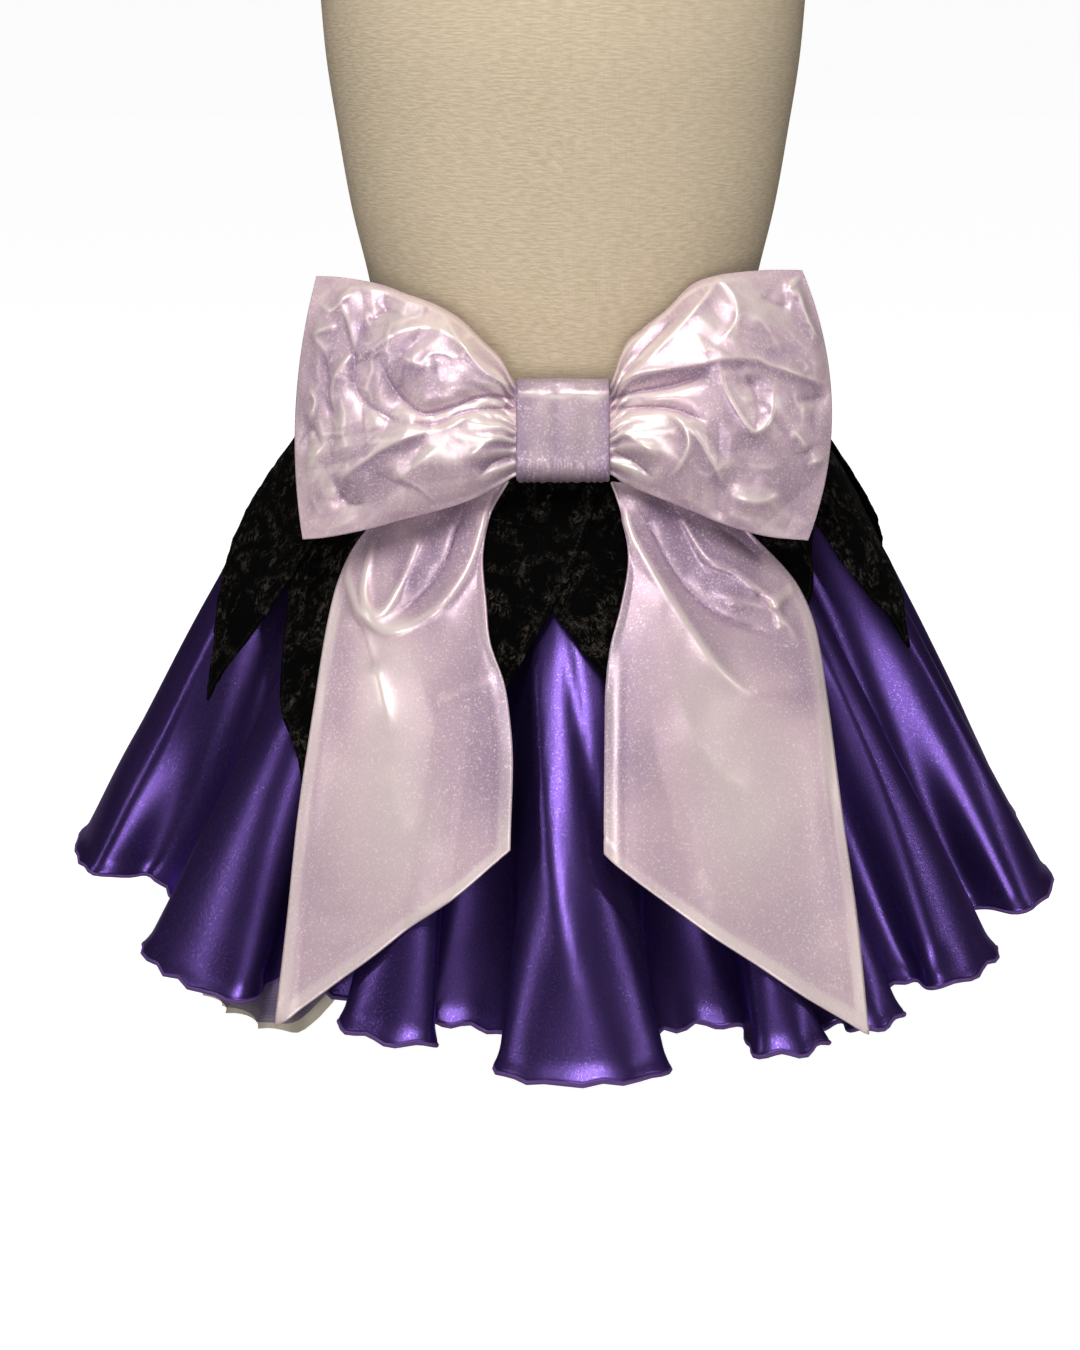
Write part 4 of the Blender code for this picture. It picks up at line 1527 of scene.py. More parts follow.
@dataclass
class Petticoat:
    """The net under the satin: a purple layer over a longer grey one."""

    waves: int = 18
    wave_columns: int = 24
    rows: int = 64
    depth: float = 0.018
    unevenness: float = 0.2
    drift: float = 3.0
    inset: float = 0.0095
    ease: float = 0.0025
    tuck: float = 0.014
    free: float = 0.01
    shorter: float = 0.012
    dip: float = 0.04
    bulge: float = 0.044
    bulge_turn: float = -38.5
    bulge_half_turn: float = 12.2
    fine_pitch: float = 5.6
    fine_depth: float = 0.0075
    under: float = 0.0018
    waver: float = 0.003
    waver_size: float = 0.035
    opening_share: float = 0.92

    def layer_points(self, raised: float, inward: float, phase: float) -> Array:
        """Return a layer's points.

        Args:
            raised: How much shorter than the solid the layer is at its hem.
            inward: How much further in than the solid it lies.
            phase: How many waves its folds are shifted by.

        Returns:
            The points in rows and columns.
        """
        wave = columns_round(self.waves, self.waves * self.wave_columns)
        wave, share = np.broadcast_arrays(wave, rows_between(0, 1, self.rows))
        turn = 360.0 * wave / self.waves + self.drift * np.sin(2 * np.pi * wave / 6.0)
        x, y = np.cos(np.radians(turn)) + 2, np.sin(np.radians(turn)) + 2
        waver = self.waver * Unevenness(51).at(x, y, self.waver_size)
        uneven = self.unevenness * np.sin(2 * np.pi * wave / 4.5)
        depth = self.depth * (1 - self.unevenness + uneven)
        facing = turn_away(turn)
        sag = np.exp(-(((facing - self.bulge_turn) / self.bulge_half_turn) ** 8))
        radius = FORM.valley_radius(FORM.place_of(turn)) - self.inset - inward
        radius = radius + (waver - depth * ripple(wave + phase)) * (1 - sag)
        lower = self.dip * sag - self.shorter - raised
        pleat = np.abs(np.sin(np.pi * (facing + 3 * phase) / self.fine_pitch)) ** 0.6
        radius = radius + (self.bulge - self.fine_depth * pleat) * sag
        room = FORM.fold_radius(FORM.place_of(turn), share) - self.free
        opened = smooth_step((share - self.opening_share) / 0.07)
        radius = np.minimum(radius, room + self.bulge * opened)
        ease = self.ease * np.clip(share / 0.3, 0, 1)
        ease = ease + self.tuck * share * (FORM.deepening(share) - 1) / FORM.middle_depth
        return FORM.hang(turn, share, radius, lower, -(self.under + ease + inward * share))

    def build(self) -> list[Piece]:
        """Returns:
            The layers.
        """
        made = []
        for name, node, finish, raised, inward, phase in (
            ("petticoat_purple_net", "petticoat", PURPLE_NET, 0.007, 0.0, 0.0),
            ("petticoat_grey_net", "", GREY_NET, 0.0, 0.004, 0.35),
        ):
            layer = lay_cloth(name, self.layer_points(raised, inward, phase), closed=True)
            declare(layer, finish.material(), node)
            made.append(layer)
        return made


@dataclass(frozen=True)
class Petal:
    """A velvet petal: turns of its middle at the waist and of its tip, share of the slant at the
    tip, half width, and its layer: 1 over its neighbours, 0 under them."""

    turn: float
    tip_turn: float
    tip_share: float
    half_width: float
    layer: int


PETALS = table(
    Petal,
    (-16, -12, 0.625, 0.043, 1),
    (11.5, 9.5, 0.565, 0.045, 0),
    (44, 36, 0.49, 0.057, 1),
    (77, 63, 0.53, 0.043, 0),
    (105, 112, 0.58, 0.05, 1),
    (133, 136, 0.52, 0.054, 0),
    (162, 164, 0.62, 0.056, 1),
    (191, 188, 0.53, 0.054, 0),
    (220, 222, 0.61, 0.056, 1),
    (251, 256, 0.52, 0.054, 0),
    (284, 300, 0.62, 0.05, 1),
    (316, 328, 0.7, 0.066, 0),
)
# A petal's half width down its length, both as shares
PETAL_OUTLINE = (
    (0.0, 0.62), (0.2, 0.86), (0.4, 1.0), (0.6, 0.84), (0.8, 0.46), (0.92, 0.16), (1.0, 0.02)
)


@dataclass
class VelvetPetals:
    """The petals round the waist."""

    rows: int = 64
    columns: int = 34
    top_share: float = 0.004
    follow: float = 0.3
    tip_follow: float = 0.62
    touch_gap: float = 0.0007
    clearance: float = 0.003
    layer_step: float = 0.0018
    layer_spread: float = 0.0008
    thickness: float = 0.0009
    crush: float = 0.0016
    crush_size: float = 0.034
    tip_curl: float = 0.002
    curl_start: float = 0.7
    side_turn: float = 85.0

    def points(self, petal: Petal) -> tuple[Array, Array]:
        """Lay out a petal.

        Args:
            petal: Where it is and its size.

        Returns:
            Its inner face, and each point's distance from its edge.
        """
        down = rows_between(0, 1, self.rows)
        across = columns_between(-1, 1, self.columns)
        share = self.top_share + (petal.tip_share - self.top_share) * down
        half_width = petal.half_width * curve_through(*zip(*PETAL_OUTLINE), down)
        middle = petal.turn + (petal.tip_turn - petal.turn) * down
        spread, pressed, _ = FORM.plain(share)
        radius = spread - FORM.press_weight(middle) * pressed + FORM.waist_reach(middle)
        turn = middle + np.degrees(across * half_width / radius)
        share = share + 0 * across
        away = np.clip(share / 0.15, 0, 1)
        out = self.touch_gap + self.clearance * away
        out = out + petal.layer * (self.layer_step + self.layer_spread * away)
        round_it, slope = FORM.metres_round(turn, share), FORM.slant * share
        crushed = Unevenness(61).crumple(round_it + 1.5, 0.7 * slope, self.crush_size, 2)
        curled = smooth_step((down - self.curl_start) / (1 - self.curl_start))
        out = out + self.crush * crushed * away + self.tip_curl * curled
        behind = smooth_step((np.abs(turn_away(turn)) - self.side_turn) / 40.0)
        lower = smooth_step((share - 0.2) / 0.35)
        follow = self.follow + (self.tip_follow - self.follow) * behind * lower
        edge = (1 - np.abs(across)) * half_width
        return FORM.cloth(FORM.place_of(turn), share, follow, out), edge

    def build(self) -> list[Piece]:
        """Returns:
            The petals.
        """
        velvet = BLACK_VELVET.material()
        made = []
        for number, petal in enumerate(PETALS, 1):
            node = f"petal_{number:02d}"
            grid, edge = self.points(petal)
            piece = lay_cloth(f"{node}_velvet", grid, marks={EDGE: edge})
            thicken(piece, self.thickness, Facing.OUTWARD)
            declare(piece, velvet, node)
            made.append(piece)
        return made


# The bow


@dataclass(frozen=True)
class BowPlane:
    """The bow's own plane, which leans back at the top, seen from the knot's middle."""

    lean: float = 20.0
    forward: float = 0.1291
    drop: float = 0.034

    def points(self, x: Array, height: Array, ahead: Array) -> Array:
        """Return points in metres.

        Args:
            x: Their places on X.
            height: Their heights in the bow's plane.
            ahead: How far ahead of it they are.

        Returns:
            The points.
        """
        lean = math.radians(self.lean)
        x, height, ahead = np.broadcast_arrays(x, height, ahead)
        y = -self.forward + height * math.sin(lean) - ahead * math.cos(lean)
        z = FORM.waist_height - self.drop + height * math.cos(lean) + ahead * math.sin(lean)
        return np.stack([x, y, z], axis=-1)


BOW = BowPlane()


@dataclass(frozen=True)
class LoopSection:
    """A section across a bow loop: how far out its middle and corners are, their heights, puff."""

    middle: float
    top_out: float
    bottom_out: float
    top: float
    bottom: float
    puff: float


LEFT_SECTIONS = table(
    LoopSection,
    (20.5, 20.5, 20.5, 28.5, -28.5, 13.8),
    (28.5, 28.5, 28.5, 28.8, -28, 14),
    (37, 36.5, 37, 42.5, -33, 18),
    (50, 49, 50, 55.5, -40, 21.5),
    (65, 63, 64.5, 69, -45.5, 23.5),
    (82, 79, 81, 78.5, -50, 24),
    (100, 95.5, 98.5, 85, -54.2, 23),
    (118, 112, 115.5, 91.5, -58.5, 20.5),
    (136, 128, 133, 95.5, -62, 16),
    (153, 142.5, 149, 98, -64.2, 9.5),
    (166, 153, 161, 99, -64.8, 1.2),
    unit=MILLIMETRES,
)
RIGHT_SECTIONS = table(
    LoopSection,
    (20.5, 20.5, 20.5, 28.5, -28.5, 13.8),
    (28.5, 28.5, 28.5, 28.8, -27, 14),
    (37, 36.5, 36.5, 50, -32, 18),
    (50, 49, 49, 63, -37.5, 21.5),
    (65, 63, 63, 74.5, -43, 23.5),
    (82, 78.5, 78.5, 90, -49, 24),
    (100, 94.5, 94.5, 96.5, -55.5, 23),
    (118, 110.5, 110.5, 99.4, -60.5, 20.5),
    (136, 125.5, 126.5, 101.2, -64, 16),
    (153, 138.5, 140.5, 102, -65.2, 9.5),
    (167, 148.4, 151.4, 102.4, -65.7, 1.2),
    unit=MILLIMETRES,
)

# Creases of the loops, with places as distance out from the knot's middle and height. The columns
# are path, height, width, far width, what is kept at both ends, and softness
LEFT_LOOP_CREASES = creases(
    ((29, 19, 49, 18, 68, 11, 86, 8.5, 102, 23, 112, 42), -8, 6, 7.5, (0.9, 0.1)),
    ((29, 12.5, 43, 11, 59, 8.5, 70, 4, 81, 1, 99, 3), -7, 5, 5.5, (0.9, 0)),
    ((115, 47, 97.5, 58, 77, 60, 59, 47, 41, 28), 4.6, 10, 12, (0.7, 0.3)),
    ((40, 12.5, 55, 6, 68, -0.5, 86, -5, 109, -14, 131, -27, 139, -33), 5, 22, 5.5, (0.3, 0)),
    ((66, -6, 79, -16.5, 95, -28.5, 99, -35), 2, 11, 14),
    ((74, 72, 61, 50, 49, 35, 33, 24.5), 3, 5, 4, (0.2, 0.8)),
    ((126, 48, 136, 37, 142, 23, 138, 6.5), 3.4, 4.2, 6),
    ((126, 48, 127, 30, 120, 16, 102, 4, 86, 1), -4, 6, 7, (0.5, 0)),
    ((146, 52, 144, 35, 142.5, 16, 137, 4), -3, 4, 4),
    ((129, 91, 136, 80, 131, 66, 126, 48), 3.4, 4.5, 6, (0.2, 0.7)),
    ((151, 82, 142.5, 75, 134, 82, 124, 87), 2.6, 4, 5),
    ((157, 61, 147.5, 63, 136, 65), 2.4, 3.8, 5),
    ((120, 66, 112, 70, 103, 78), -3, 7, 6),
    ((163, -6, 154, 2, 147, -12), -2.8, 5, 5, (0.5, 0)),
    ((139, -34, 131, -44, 119, -44), -3, 4.5, 6, (0.4, 0)),
    ((122, 90, 109, 86.5, 90.5, 83, 74, 73), 1.8, 4, 4),
    ((158, 30, 152, 18, 158, 4), 2.2, 4.5, 4.5),
    ((98, 44, 86, 36, 74, 36), 2.2, 8, 6),
    ((60, -22, 48, -12, 34, -5), 2.2, 8, 8, (0, 0.8)),
    ((52, -30, 42, -21, 32, -17), -2.6, 4.5, 4.5, (0, 0.9)),
)
RIGHT_LOOP_CREASES = creases(
    ((29, 17.5, 41, 21, 62, 24, 76, 28, 91, 34), -8.5, 7, 5, (0.9, 0)),
    (
        (30, 24.5, 44, 30, 64, 34, 82, 36.5, 96, 40, 116, 41, 127.5, 37.5, 146, 33.5, 166, 31),
        4.4, 16, 5, (0.5, 0.6),
    ),
    ((30, 11.5, 50, 12, 64, 10.5, 75, 7, 88, 0.5), -8, 5.5, 6, (0.9, 0)),
    ((60.5, 10, 70.5, 1, 75.5, -11, 70.5, -23.5, 62, -32), 3, 5, 8),
    ((56, 12, 74, 0, 85, -13.5, 93, -26.5, 100, -38), 4.8, 10, 6, (0.3, 0)),
    ((94, 36, 98.5, 21, 107, 6.5, 116, -3, 126, 6, 128.5, 25.5), 4, 5, 5.5, (0.4, 0.3)),
    ((110.5, 33, 116, 21, 120.5, 8.5), -3.6, 5, 5),
    ((30, 26, 40, 45, 58, 68, 76, 84, 92, 93), 2.2, 4, 5, (0.7, 0.2)),
    ((32, 22, 50, 39, 69.5, 60, 86, 79, 94.5, 94), 4, 5.5, 7, (0.8, 0.6)),
    ((38, 34, 52, 51, 70, 70), -3, 4, 4, (0.8, 0)),
    ((94.5, 95, 105, 80, 104, 63, 91, 47), 2.8, 6, 4.5, (0.8, 0)),
    ((112, 75, 125, 60, 134, 43), 3, 10, 12),
    ((134, 88, 145.5, 85, 150, 73, 164, 53), 3, 4, 5.5, (0, 0.5)),
    ((137, 87, 143, 94, 148, 100), 2, 3.6, 3.6, (0.2, 0.6)),
    ((166, 27, 156, 21, 141, 19), -3, 5, 7, (0.8, 0)),
    ((137, 1, 145.5, -5.6, 150, -13), 2.8, 4.5, 5.5),
    ((148, -20.5, 159, -16.5, 166.5, -9), 2.4, 4, 4.5, (0, 0.6)),
    ((120, 86, 130, 79, 141, 77), -2.6, 6, 5),
    ((99, -40, 118, -44.5, 136, -38), 2.4, 8, 6),
    ((60, -20, 46, -10, 33, -3), 2.4, 8, 8, (0, 0.8)),
    ((56, -31, 43, -21, 32, -15), -2.8, 4.5, 4.5, (0, 0.9)),
)

# Streaks of painted highlight and painted shade, where the loops' satin shines and falls dark: the
# same columns, with a tone as height
LEFT_LOOP_PAINTED_STREAKS = creases(
    ((105, 72, 85, 68, 62, 52, 42, 30), 0.55, 10, 8, (0.3, 0.6), 0.8),
    ((110, 40, 88, 32, 68, 26), -0.5, 9, 9, (0.3, 0.3), 0.8),
    ((130, 72, 124, 64, 120, 52), -0.65, 6, 6, (0.3, 0.3), 0.8),
    ((148, 52, 146, 34, 142, 14), -0.45, 8, 7, (0.3, 0.3), 0.8),
    ((90, -26, 70, -10, 50, 0, 36, 4), 0.5, 12, 10, (0.2, 0.5), 0.8),
    ((140, -48, 120, -30, 104, -18), -0.45, 9, 9, (0.4, 0.2), 0.8),
    ((154, -10, 147, -30, 138, -46), 0.55, 4, 5, (0.3, 0.2), 0.8),
    ((60, -30, 46, -24, 34, -20), -0.5, 6, 6, (0.2, 0.8), 0.8),
    tones=True,
)
RIGHT_LOOP_PAINTED_STREAKS = creases(
    ((40, 30, 60, 44, 82, 62, 92, 80), 0.5, 9, 8, (0.6, 0.3), 0.8),
    ((110, 52, 124, 50, 146, 44), -0.5, 7, 7, (0.2, 0.4), 0.8),
    ((98, 88, 112, 80, 126, 70), 0.5, 7, 7, (0.3, 0.3), 0.8),
    ((50, 26, 78, 32, 100, 30), -0.55, 8, 6, (0.5, 0.2), 0.8),
    ((90, 12, 98, -4, 108, -16), -0.5, 9, 8, (0.3, 0.3), 0.8),
    ((66, -18, 54, -6, 40, 2), 0.5, 9, 9, (0.3, 0.6), 0.8),
    ((124, -20, 136, -32, 144, -46), -0.45, 10, 9, (0.3, 0.4), 0.8),
    ((104, -46, 120, -52, 138, -54), 0.4, 7, 6, (0.3, 0.3), 0.8),
    ((150, 14, 156, 4, 158, -6), -0.5, 7, 7, (0.3, 0.3), 0.8),
    tones=True,
)


@dataclass
class BowLoop:
    """One puffed loop of the bow, a bag that is gathered into the knot."""

    side: Side
    sections: tuple[LoopSection, ...]
    creases: tuple[Crease, ...]
    painted_streaks: tuple[Crease, ...]
    seed: int
    steps_out: int = 180
    steps_across: int = 165
    edge: float = 0.0007
    fullness: float = 2.3
    back_puff: float = 0.6
    back_crumple: float = 0.0016
    sweep: float = 0.02
    sweep_span: float = 0.138
    knot_half_width: float = 0.0283
    crease_gain: float = 1.05
    crumple: float = 0.0032
    vein: float = 0.0013
    swell: float = 0.001
    gathers: float = 9.0
    gather_depth: float = 0.0014
    gather_reach: float = 0.016
    gather_waver: float = 2.2
    rim_share: float = 0.09
    rim_length: float = 0.012
    mouth_length: float = 0.008
    calm_share: float = 0.4
    calm_out: float = 0.06
    calm_span: float = 0.05
    crumple_size: float = 0.036
    back_crumple_size: float = 0.04
    swell_size: float = 0.045
    vein_size: float = 0.03

    def points(self) -> tuple[Array, Array]:
        """Lay out the loop.

        Returns:
            Rings from the knot outwards, front first and then the back, and their painted highlight
            and shade.
        """
        first, last = self.sections[0].middle, self.sections[-1].middle
        out = rows_between(first, last, self.steps_out)
        across = columns_between(-1, 1, self.steps_across)
        top_out, bottom_out, top, bottom, puff = (
            read_table(self.sections, "middle", name, out)
            for name in ("top_out", "bottom_out", "top", "bottom", "puff")
        )
        height = (top + bottom) / 2 + (top - bottom) / 2 * across
        pulled = (top_out + bottom_out) / 2 - out
        x = out + (top_out - bottom_out) / 2 * across + pulled * across**2
        from_knot = x - self.knot_half_width
        swept = self.sweep * np.clip(from_knot / self.sweep_span, 0, 1) ** 2
        puff = (puff - self.edge) * (1 - np.abs(across) ** self.fullness)
        inside = smooth_step((1 - np.abs(across)) / self.rim_share)
        inside = inside * smooth_step((last - out) / self.rim_length)
        shown = inside * smooth_step((from_knot + self.mouth_length / 2) / self.mouth_length)
        creased = self.crease_gain * crease_depth(self.creases, x, height)
        uneven = Unevenness(self.seed)
        far = smooth_step((x - self.calm_out) / self.calm_span)
        wild = self.calm_share + (1 - self.calm_share) * far
        small = self.crumple * wild * uneven.crumple(x, height, self.crumple_size, 2)
        small = small + self.swell * uneven.at(x + 0.3, height + 0.2, self.swell_size)
        small = small + self.vein * wild * uneven.veins(x + 0.5, height + 0.1, self.vein_size)
        near = np.exp(-np.clip(from_knot, 0, None) / self.gather_reach)
        wave = np.sin(np.pi * self.gathers * across + self.gather_waver * np.sin(3 * across))
        pleats = self.gather_depth * near * wave
        front = self.edge + puff + shown * (creased + small + pleats)
        behind = Unevenness(self.seed + 1).crumple(x, height, self.back_crumple_size, 3)
        behind = self.back_crumple * wild * behind + pleats - 0.35 * np.minimum(creased, 0)
        back = self.edge + self.back_puff * puff + shown * behind
        # Painted highlight on ridges and on planes that face up, painted shade in troughs and on
        # planes that face down, and the painted streaks of the table
        tone = painted_shading(front, x, height) + painted_slope_shading(inside * (creased + small), x, height)
        tone = tone + crease_depth(self.painted_streaks, x, height)
        tones = np.concatenate([tone, painted_shading(back, x, height)[:, ::-1]], axis=1)
        x = self.side.value * x
        faces = (front - swept, -back - swept)
        front_points, back_points = (BOW.points(x, height, ahead) for ahead in faces)
        rings = np.concatenate([front_points, back_points[:, ::-1]], axis=1)
        return (rings[:, ::-1], tones[:, ::-1]) if self.side is Side.LEFT else (rings, tones)

    def build(self, satin: Material) -> Piece:
        """Args:
            satin: What it is made of.

        Returns:
            The loop.
        """
        node = f"bow_loop_{self.side.name.lower()}"
        rings, tones = self.points()
        piece = lay_cloth(f"{node}_satin", rings, closed=True, capped=True, marks={PAINTED_LIGHT_MARK: tones})
        declare(piece, satin, node)
        return piece


@dataclass
class BowKnot:
    """The strip wrapped round the bow's middle."""

    half_width: float = 0.0283
    half_height: float = 0.0312
    half_depth: float = 0.016
    squareness: float = 0.55
    columns: int = 176
    rows: int = 56
    thickness: float = 0.0012
    pucker: float = 0.0009
    puckers: float = 5.5
    softness: float = 0.0007
    softness_size: float = 0.016
    top_line: float = 0.0009
    edge_start: float = 0.94
    edge_shrink: float = 0.03
    dent_width: float = 0.2
    dents: tuple[Point2, ...] = ((-0.6, 0.0004), (-0.1, 0.0006), (0.52, 0.0005))

    def points(self) -> tuple[Array, Array]:
        """Lay out the knot.

        Returns:
            Its rings from left to right, and their painted highlight and shade.
        """
        angle = columns_round(2 * np.pi, self.columns)
        x = rows_between(-1, 1, self.rows)
        ahead, up = np.cos(angle), np.sin(angle)
        depth = np.sign(ahead) * np.abs(ahead) ** self.squareness
        height = np.sign(up) * np.abs(up) ** self.squareness
        at_edge = np.clip((np.abs(x) - self.edge_start) / (1 - self.edge_start), 0, 1)
        shrink = 1 - self.edge_shrink * (1 - np.sqrt(1 - at_edge**2))
        uneven = Unevenness(71)
        foot = smooth_step((-height - 0.55) / 0.45)
        wave = np.sin(2 * np.pi * self.puckers * (x + 0.05 * np.sin(9 * x)))
        puckers = self.pucker * foot * wave
        y = height * self.half_height
        soft = uneven.at(x * self.half_width + 0.4, y, self.softness_size)
        dents = sum(deep * bell(x - at - 0.04 * height, self.dent_width) for at, deep in self.dents)
        soft = self.softness * soft - dents * smooth_step((1 - np.abs(height)) / 0.35)
        top_line = self.top_line * bell(height - 0.66, 0.1)
        top_line = top_line * (1 + 0.35 * uneven.at(x, 0 * x, 0.22))
        raised = np.where(ahead > 0, soft + puckers + top_line, 0)
        forward = self.half_depth * depth * shrink + raised
        tall = y * shrink + 0.5 * puckers
        # The knot's tone: a painted highlight line near the top, painted shade at its sides,
        # towards its foot and in one patch, and a random tone
        line = 1.3 * bell(height - 0.62 - 0.03 * np.sin(7 * x), 0.085)
        line = line * (0.75 + 0.25 * np.cos(9 * x))
        sides = 0.75 * smooth_step((np.abs(x) - 0.55) / 0.45)
        sides = sides + 0.3 * smooth_step((0.2 - height) / 0.8)
        tone = np.where(ahead > 0, line - sides - 0.35 * bell(x + 0.12, 0.1), 0)
        tone = tone + 0.25 * uneven.at(x, height, 0.3)
        return BOW.points(self.half_width * x, tall, forward), tone

    def build(self, satin: Material) -> Piece:
        """Args:
            satin: What it is made of.

        Returns:
            The knot.
        """
        rings, tone = self.points()
        piece = lay_cloth("bow_knot_satin", rings, closed=True, marks={PAINTED_LIGHT_MARK: tone})
        thicken(piece, self.thickness, Facing.INWARD)
        declare(piece, satin, "bow_knot")
        return piece


@dataclass(frozen=True)
class TailRow:
    """A row down a tail: its drop from the waist and its edges on X."""

    drop: float
    inner: float
    outer: float


LEFT_ROWS = table(
    TailRow,
    (66.8, 33, 75),
    (85, 44, 105),
    (106, 48.5, 127),
    (131, 46, 140.5),
    (151, 43, 145.5),
    (170, 34.5, 148.5),
    (190, 30.5, 151),
    (250, 30, 159),
    (308, 30, 164),
    (360, 30, 169),
    unit=MILLIMETRES,
)
RIGHT_ROWS = table(
    TailRow,
    (66.8, 29, 75),
    (85, 36, 100),
    (106, 39.5, 121.5),
    (131, 34.5, 145),
    (151, 28, 155),
    (170, 25.2, 159),
    (190, 24.5, 161),
    (250, 23.5, 167),
    (300, 23.5, 173),
    (355, 23.5, 176.5),
    unit=MILLIMETRES,
)

# Creases of the tails, with places as distance out from the middle and drop from the waist. The
# columns are path, height, width, far width, what is kept at both ends, and softness
LEFT_TAIL_CREASES = creases(
    ((49, 90, 59, 116, 79, 138, 102, 149, 119, 145, 131, 132, 137, 112), 4.6, 5, 12, (0.8, 0.4)),
    ((90, 105, 100, 127, 109, 140, 118, 141, 123, 130, 119, 108), 3.6, 3.4, 4.2, (0.6, 0.5)),
    ((64, 92, 72, 114, 88, 133, 106, 145.5), -5.2, 6, 5, (0.8, 0)),
    ((130, 134, 122, 153, 110, 178, 101, 204), 2.6, 6, 10, (0.4, 0)),
    ((128, 143, 119, 160, 112, 174), -3.2, 4, 5),
    ((103, 212, 98, 236, 87, 252), 0.8, 11, 14),
    ((35, 164, 58, 175, 80, 188), 2, 9, 12),
    ((84, 275, 76, 284, 88, 293), 0.7, 5, 6),
    ((52, 190, 60, 230, 72, 262), -1.4, 14, 14),
    ((140, 160, 146, 210, 150, 260), -1.2, 10, 6),
)
RIGHT_TAIL_CREASES = creases(
    ((38, 88, 54, 113, 66, 130, 80, 149, 98, 170, 127, 192), 5, 12, 5.5, (0.9, 0)),
    ((52, 92, 71, 122, 92, 140, 117, 151, 140, 158), -5.2, 5, 6, (0.8, 0)),
    ((74, 90, 88, 110, 106, 119, 130, 137), 3.6, 3.4, 5, (0.6, 0.8)),
    ((130, 137, 145, 132), 2.4, 3, 3.4, (0.9, 0.2)),
    ((130, 137, 134, 153), 2.6, 3, 3.4, (0.9, 0)),
    ((88, 128, 107, 134, 131, 143, 148, 166), 2.6, 3.4, 4),
    ((96, 96, 110, 106, 126, 120), -3.4, 4, 5, (0.6, 0)),
    ((116, 128, 124, 138, 140, 148), -2.8, 3.6, 3.6),
    ((100, 182, 128, 183, 153, 186), -1.2, 6, 6),
    ((65, 172, 85, 208, 112, 230), 1.6, 12, 12),
    ((76, 260, 87, 274, 82, 283), 0.6, 5, 6),
    ((50, 180, 58, 220, 72, 255), -1.2, 14, 14),
)

# Streaks of painted highlight and painted shade, where the tails' satin shines and falls dark: the
# same columns, with a tone as height
LEFT_TAIL_PAINTED_STREAKS = creases(
    ((124, 118, 111, 175, 99, 232, 101, 300), 0.55, 20, 22, (0.4, 0.3), 1),
    ((42, 150, 38, 195, 37, 250), -0.8, 14, 16, (0.5, 0.2), 1),
    ((130, 146, 133, 180, 138, 225), -0.65, 8, 10, (0.4, 0), 1),
    ((58, 78, 72, 106, 90, 124, 104, 130), -1.05, 11, 11, (1, 0.2), 0.8),
    ((104, 80, 120, 98, 128, 118), -0.9, 11, 11, (1, 0.1), 0.8),
    tones=True,
)
RIGHT_TAIL_PAINTED_STREAKS = creases(
    ((45, 105, 63, 140, 85, 195, 108, 245, 137, 290), 0.6, 20, 26, (0.6, 0.2), 1),
    ((31, 130, 29, 175, 31, 240), -1, 14, 22, (0.7, 0.3), 1),
    ((58, 78, 74, 104, 95, 128, 118, 148), -1.25, 14, 13, (1, 0.2), 0.9),
    ((92, 80, 110, 98, 135, 118), -1, 12, 12, (1, 0.2), 0.8),
    ((130, 150, 145, 175, 150, 200), -0.6, 10, 10, (0.4, 0.1), 1),
    tones=True,
)


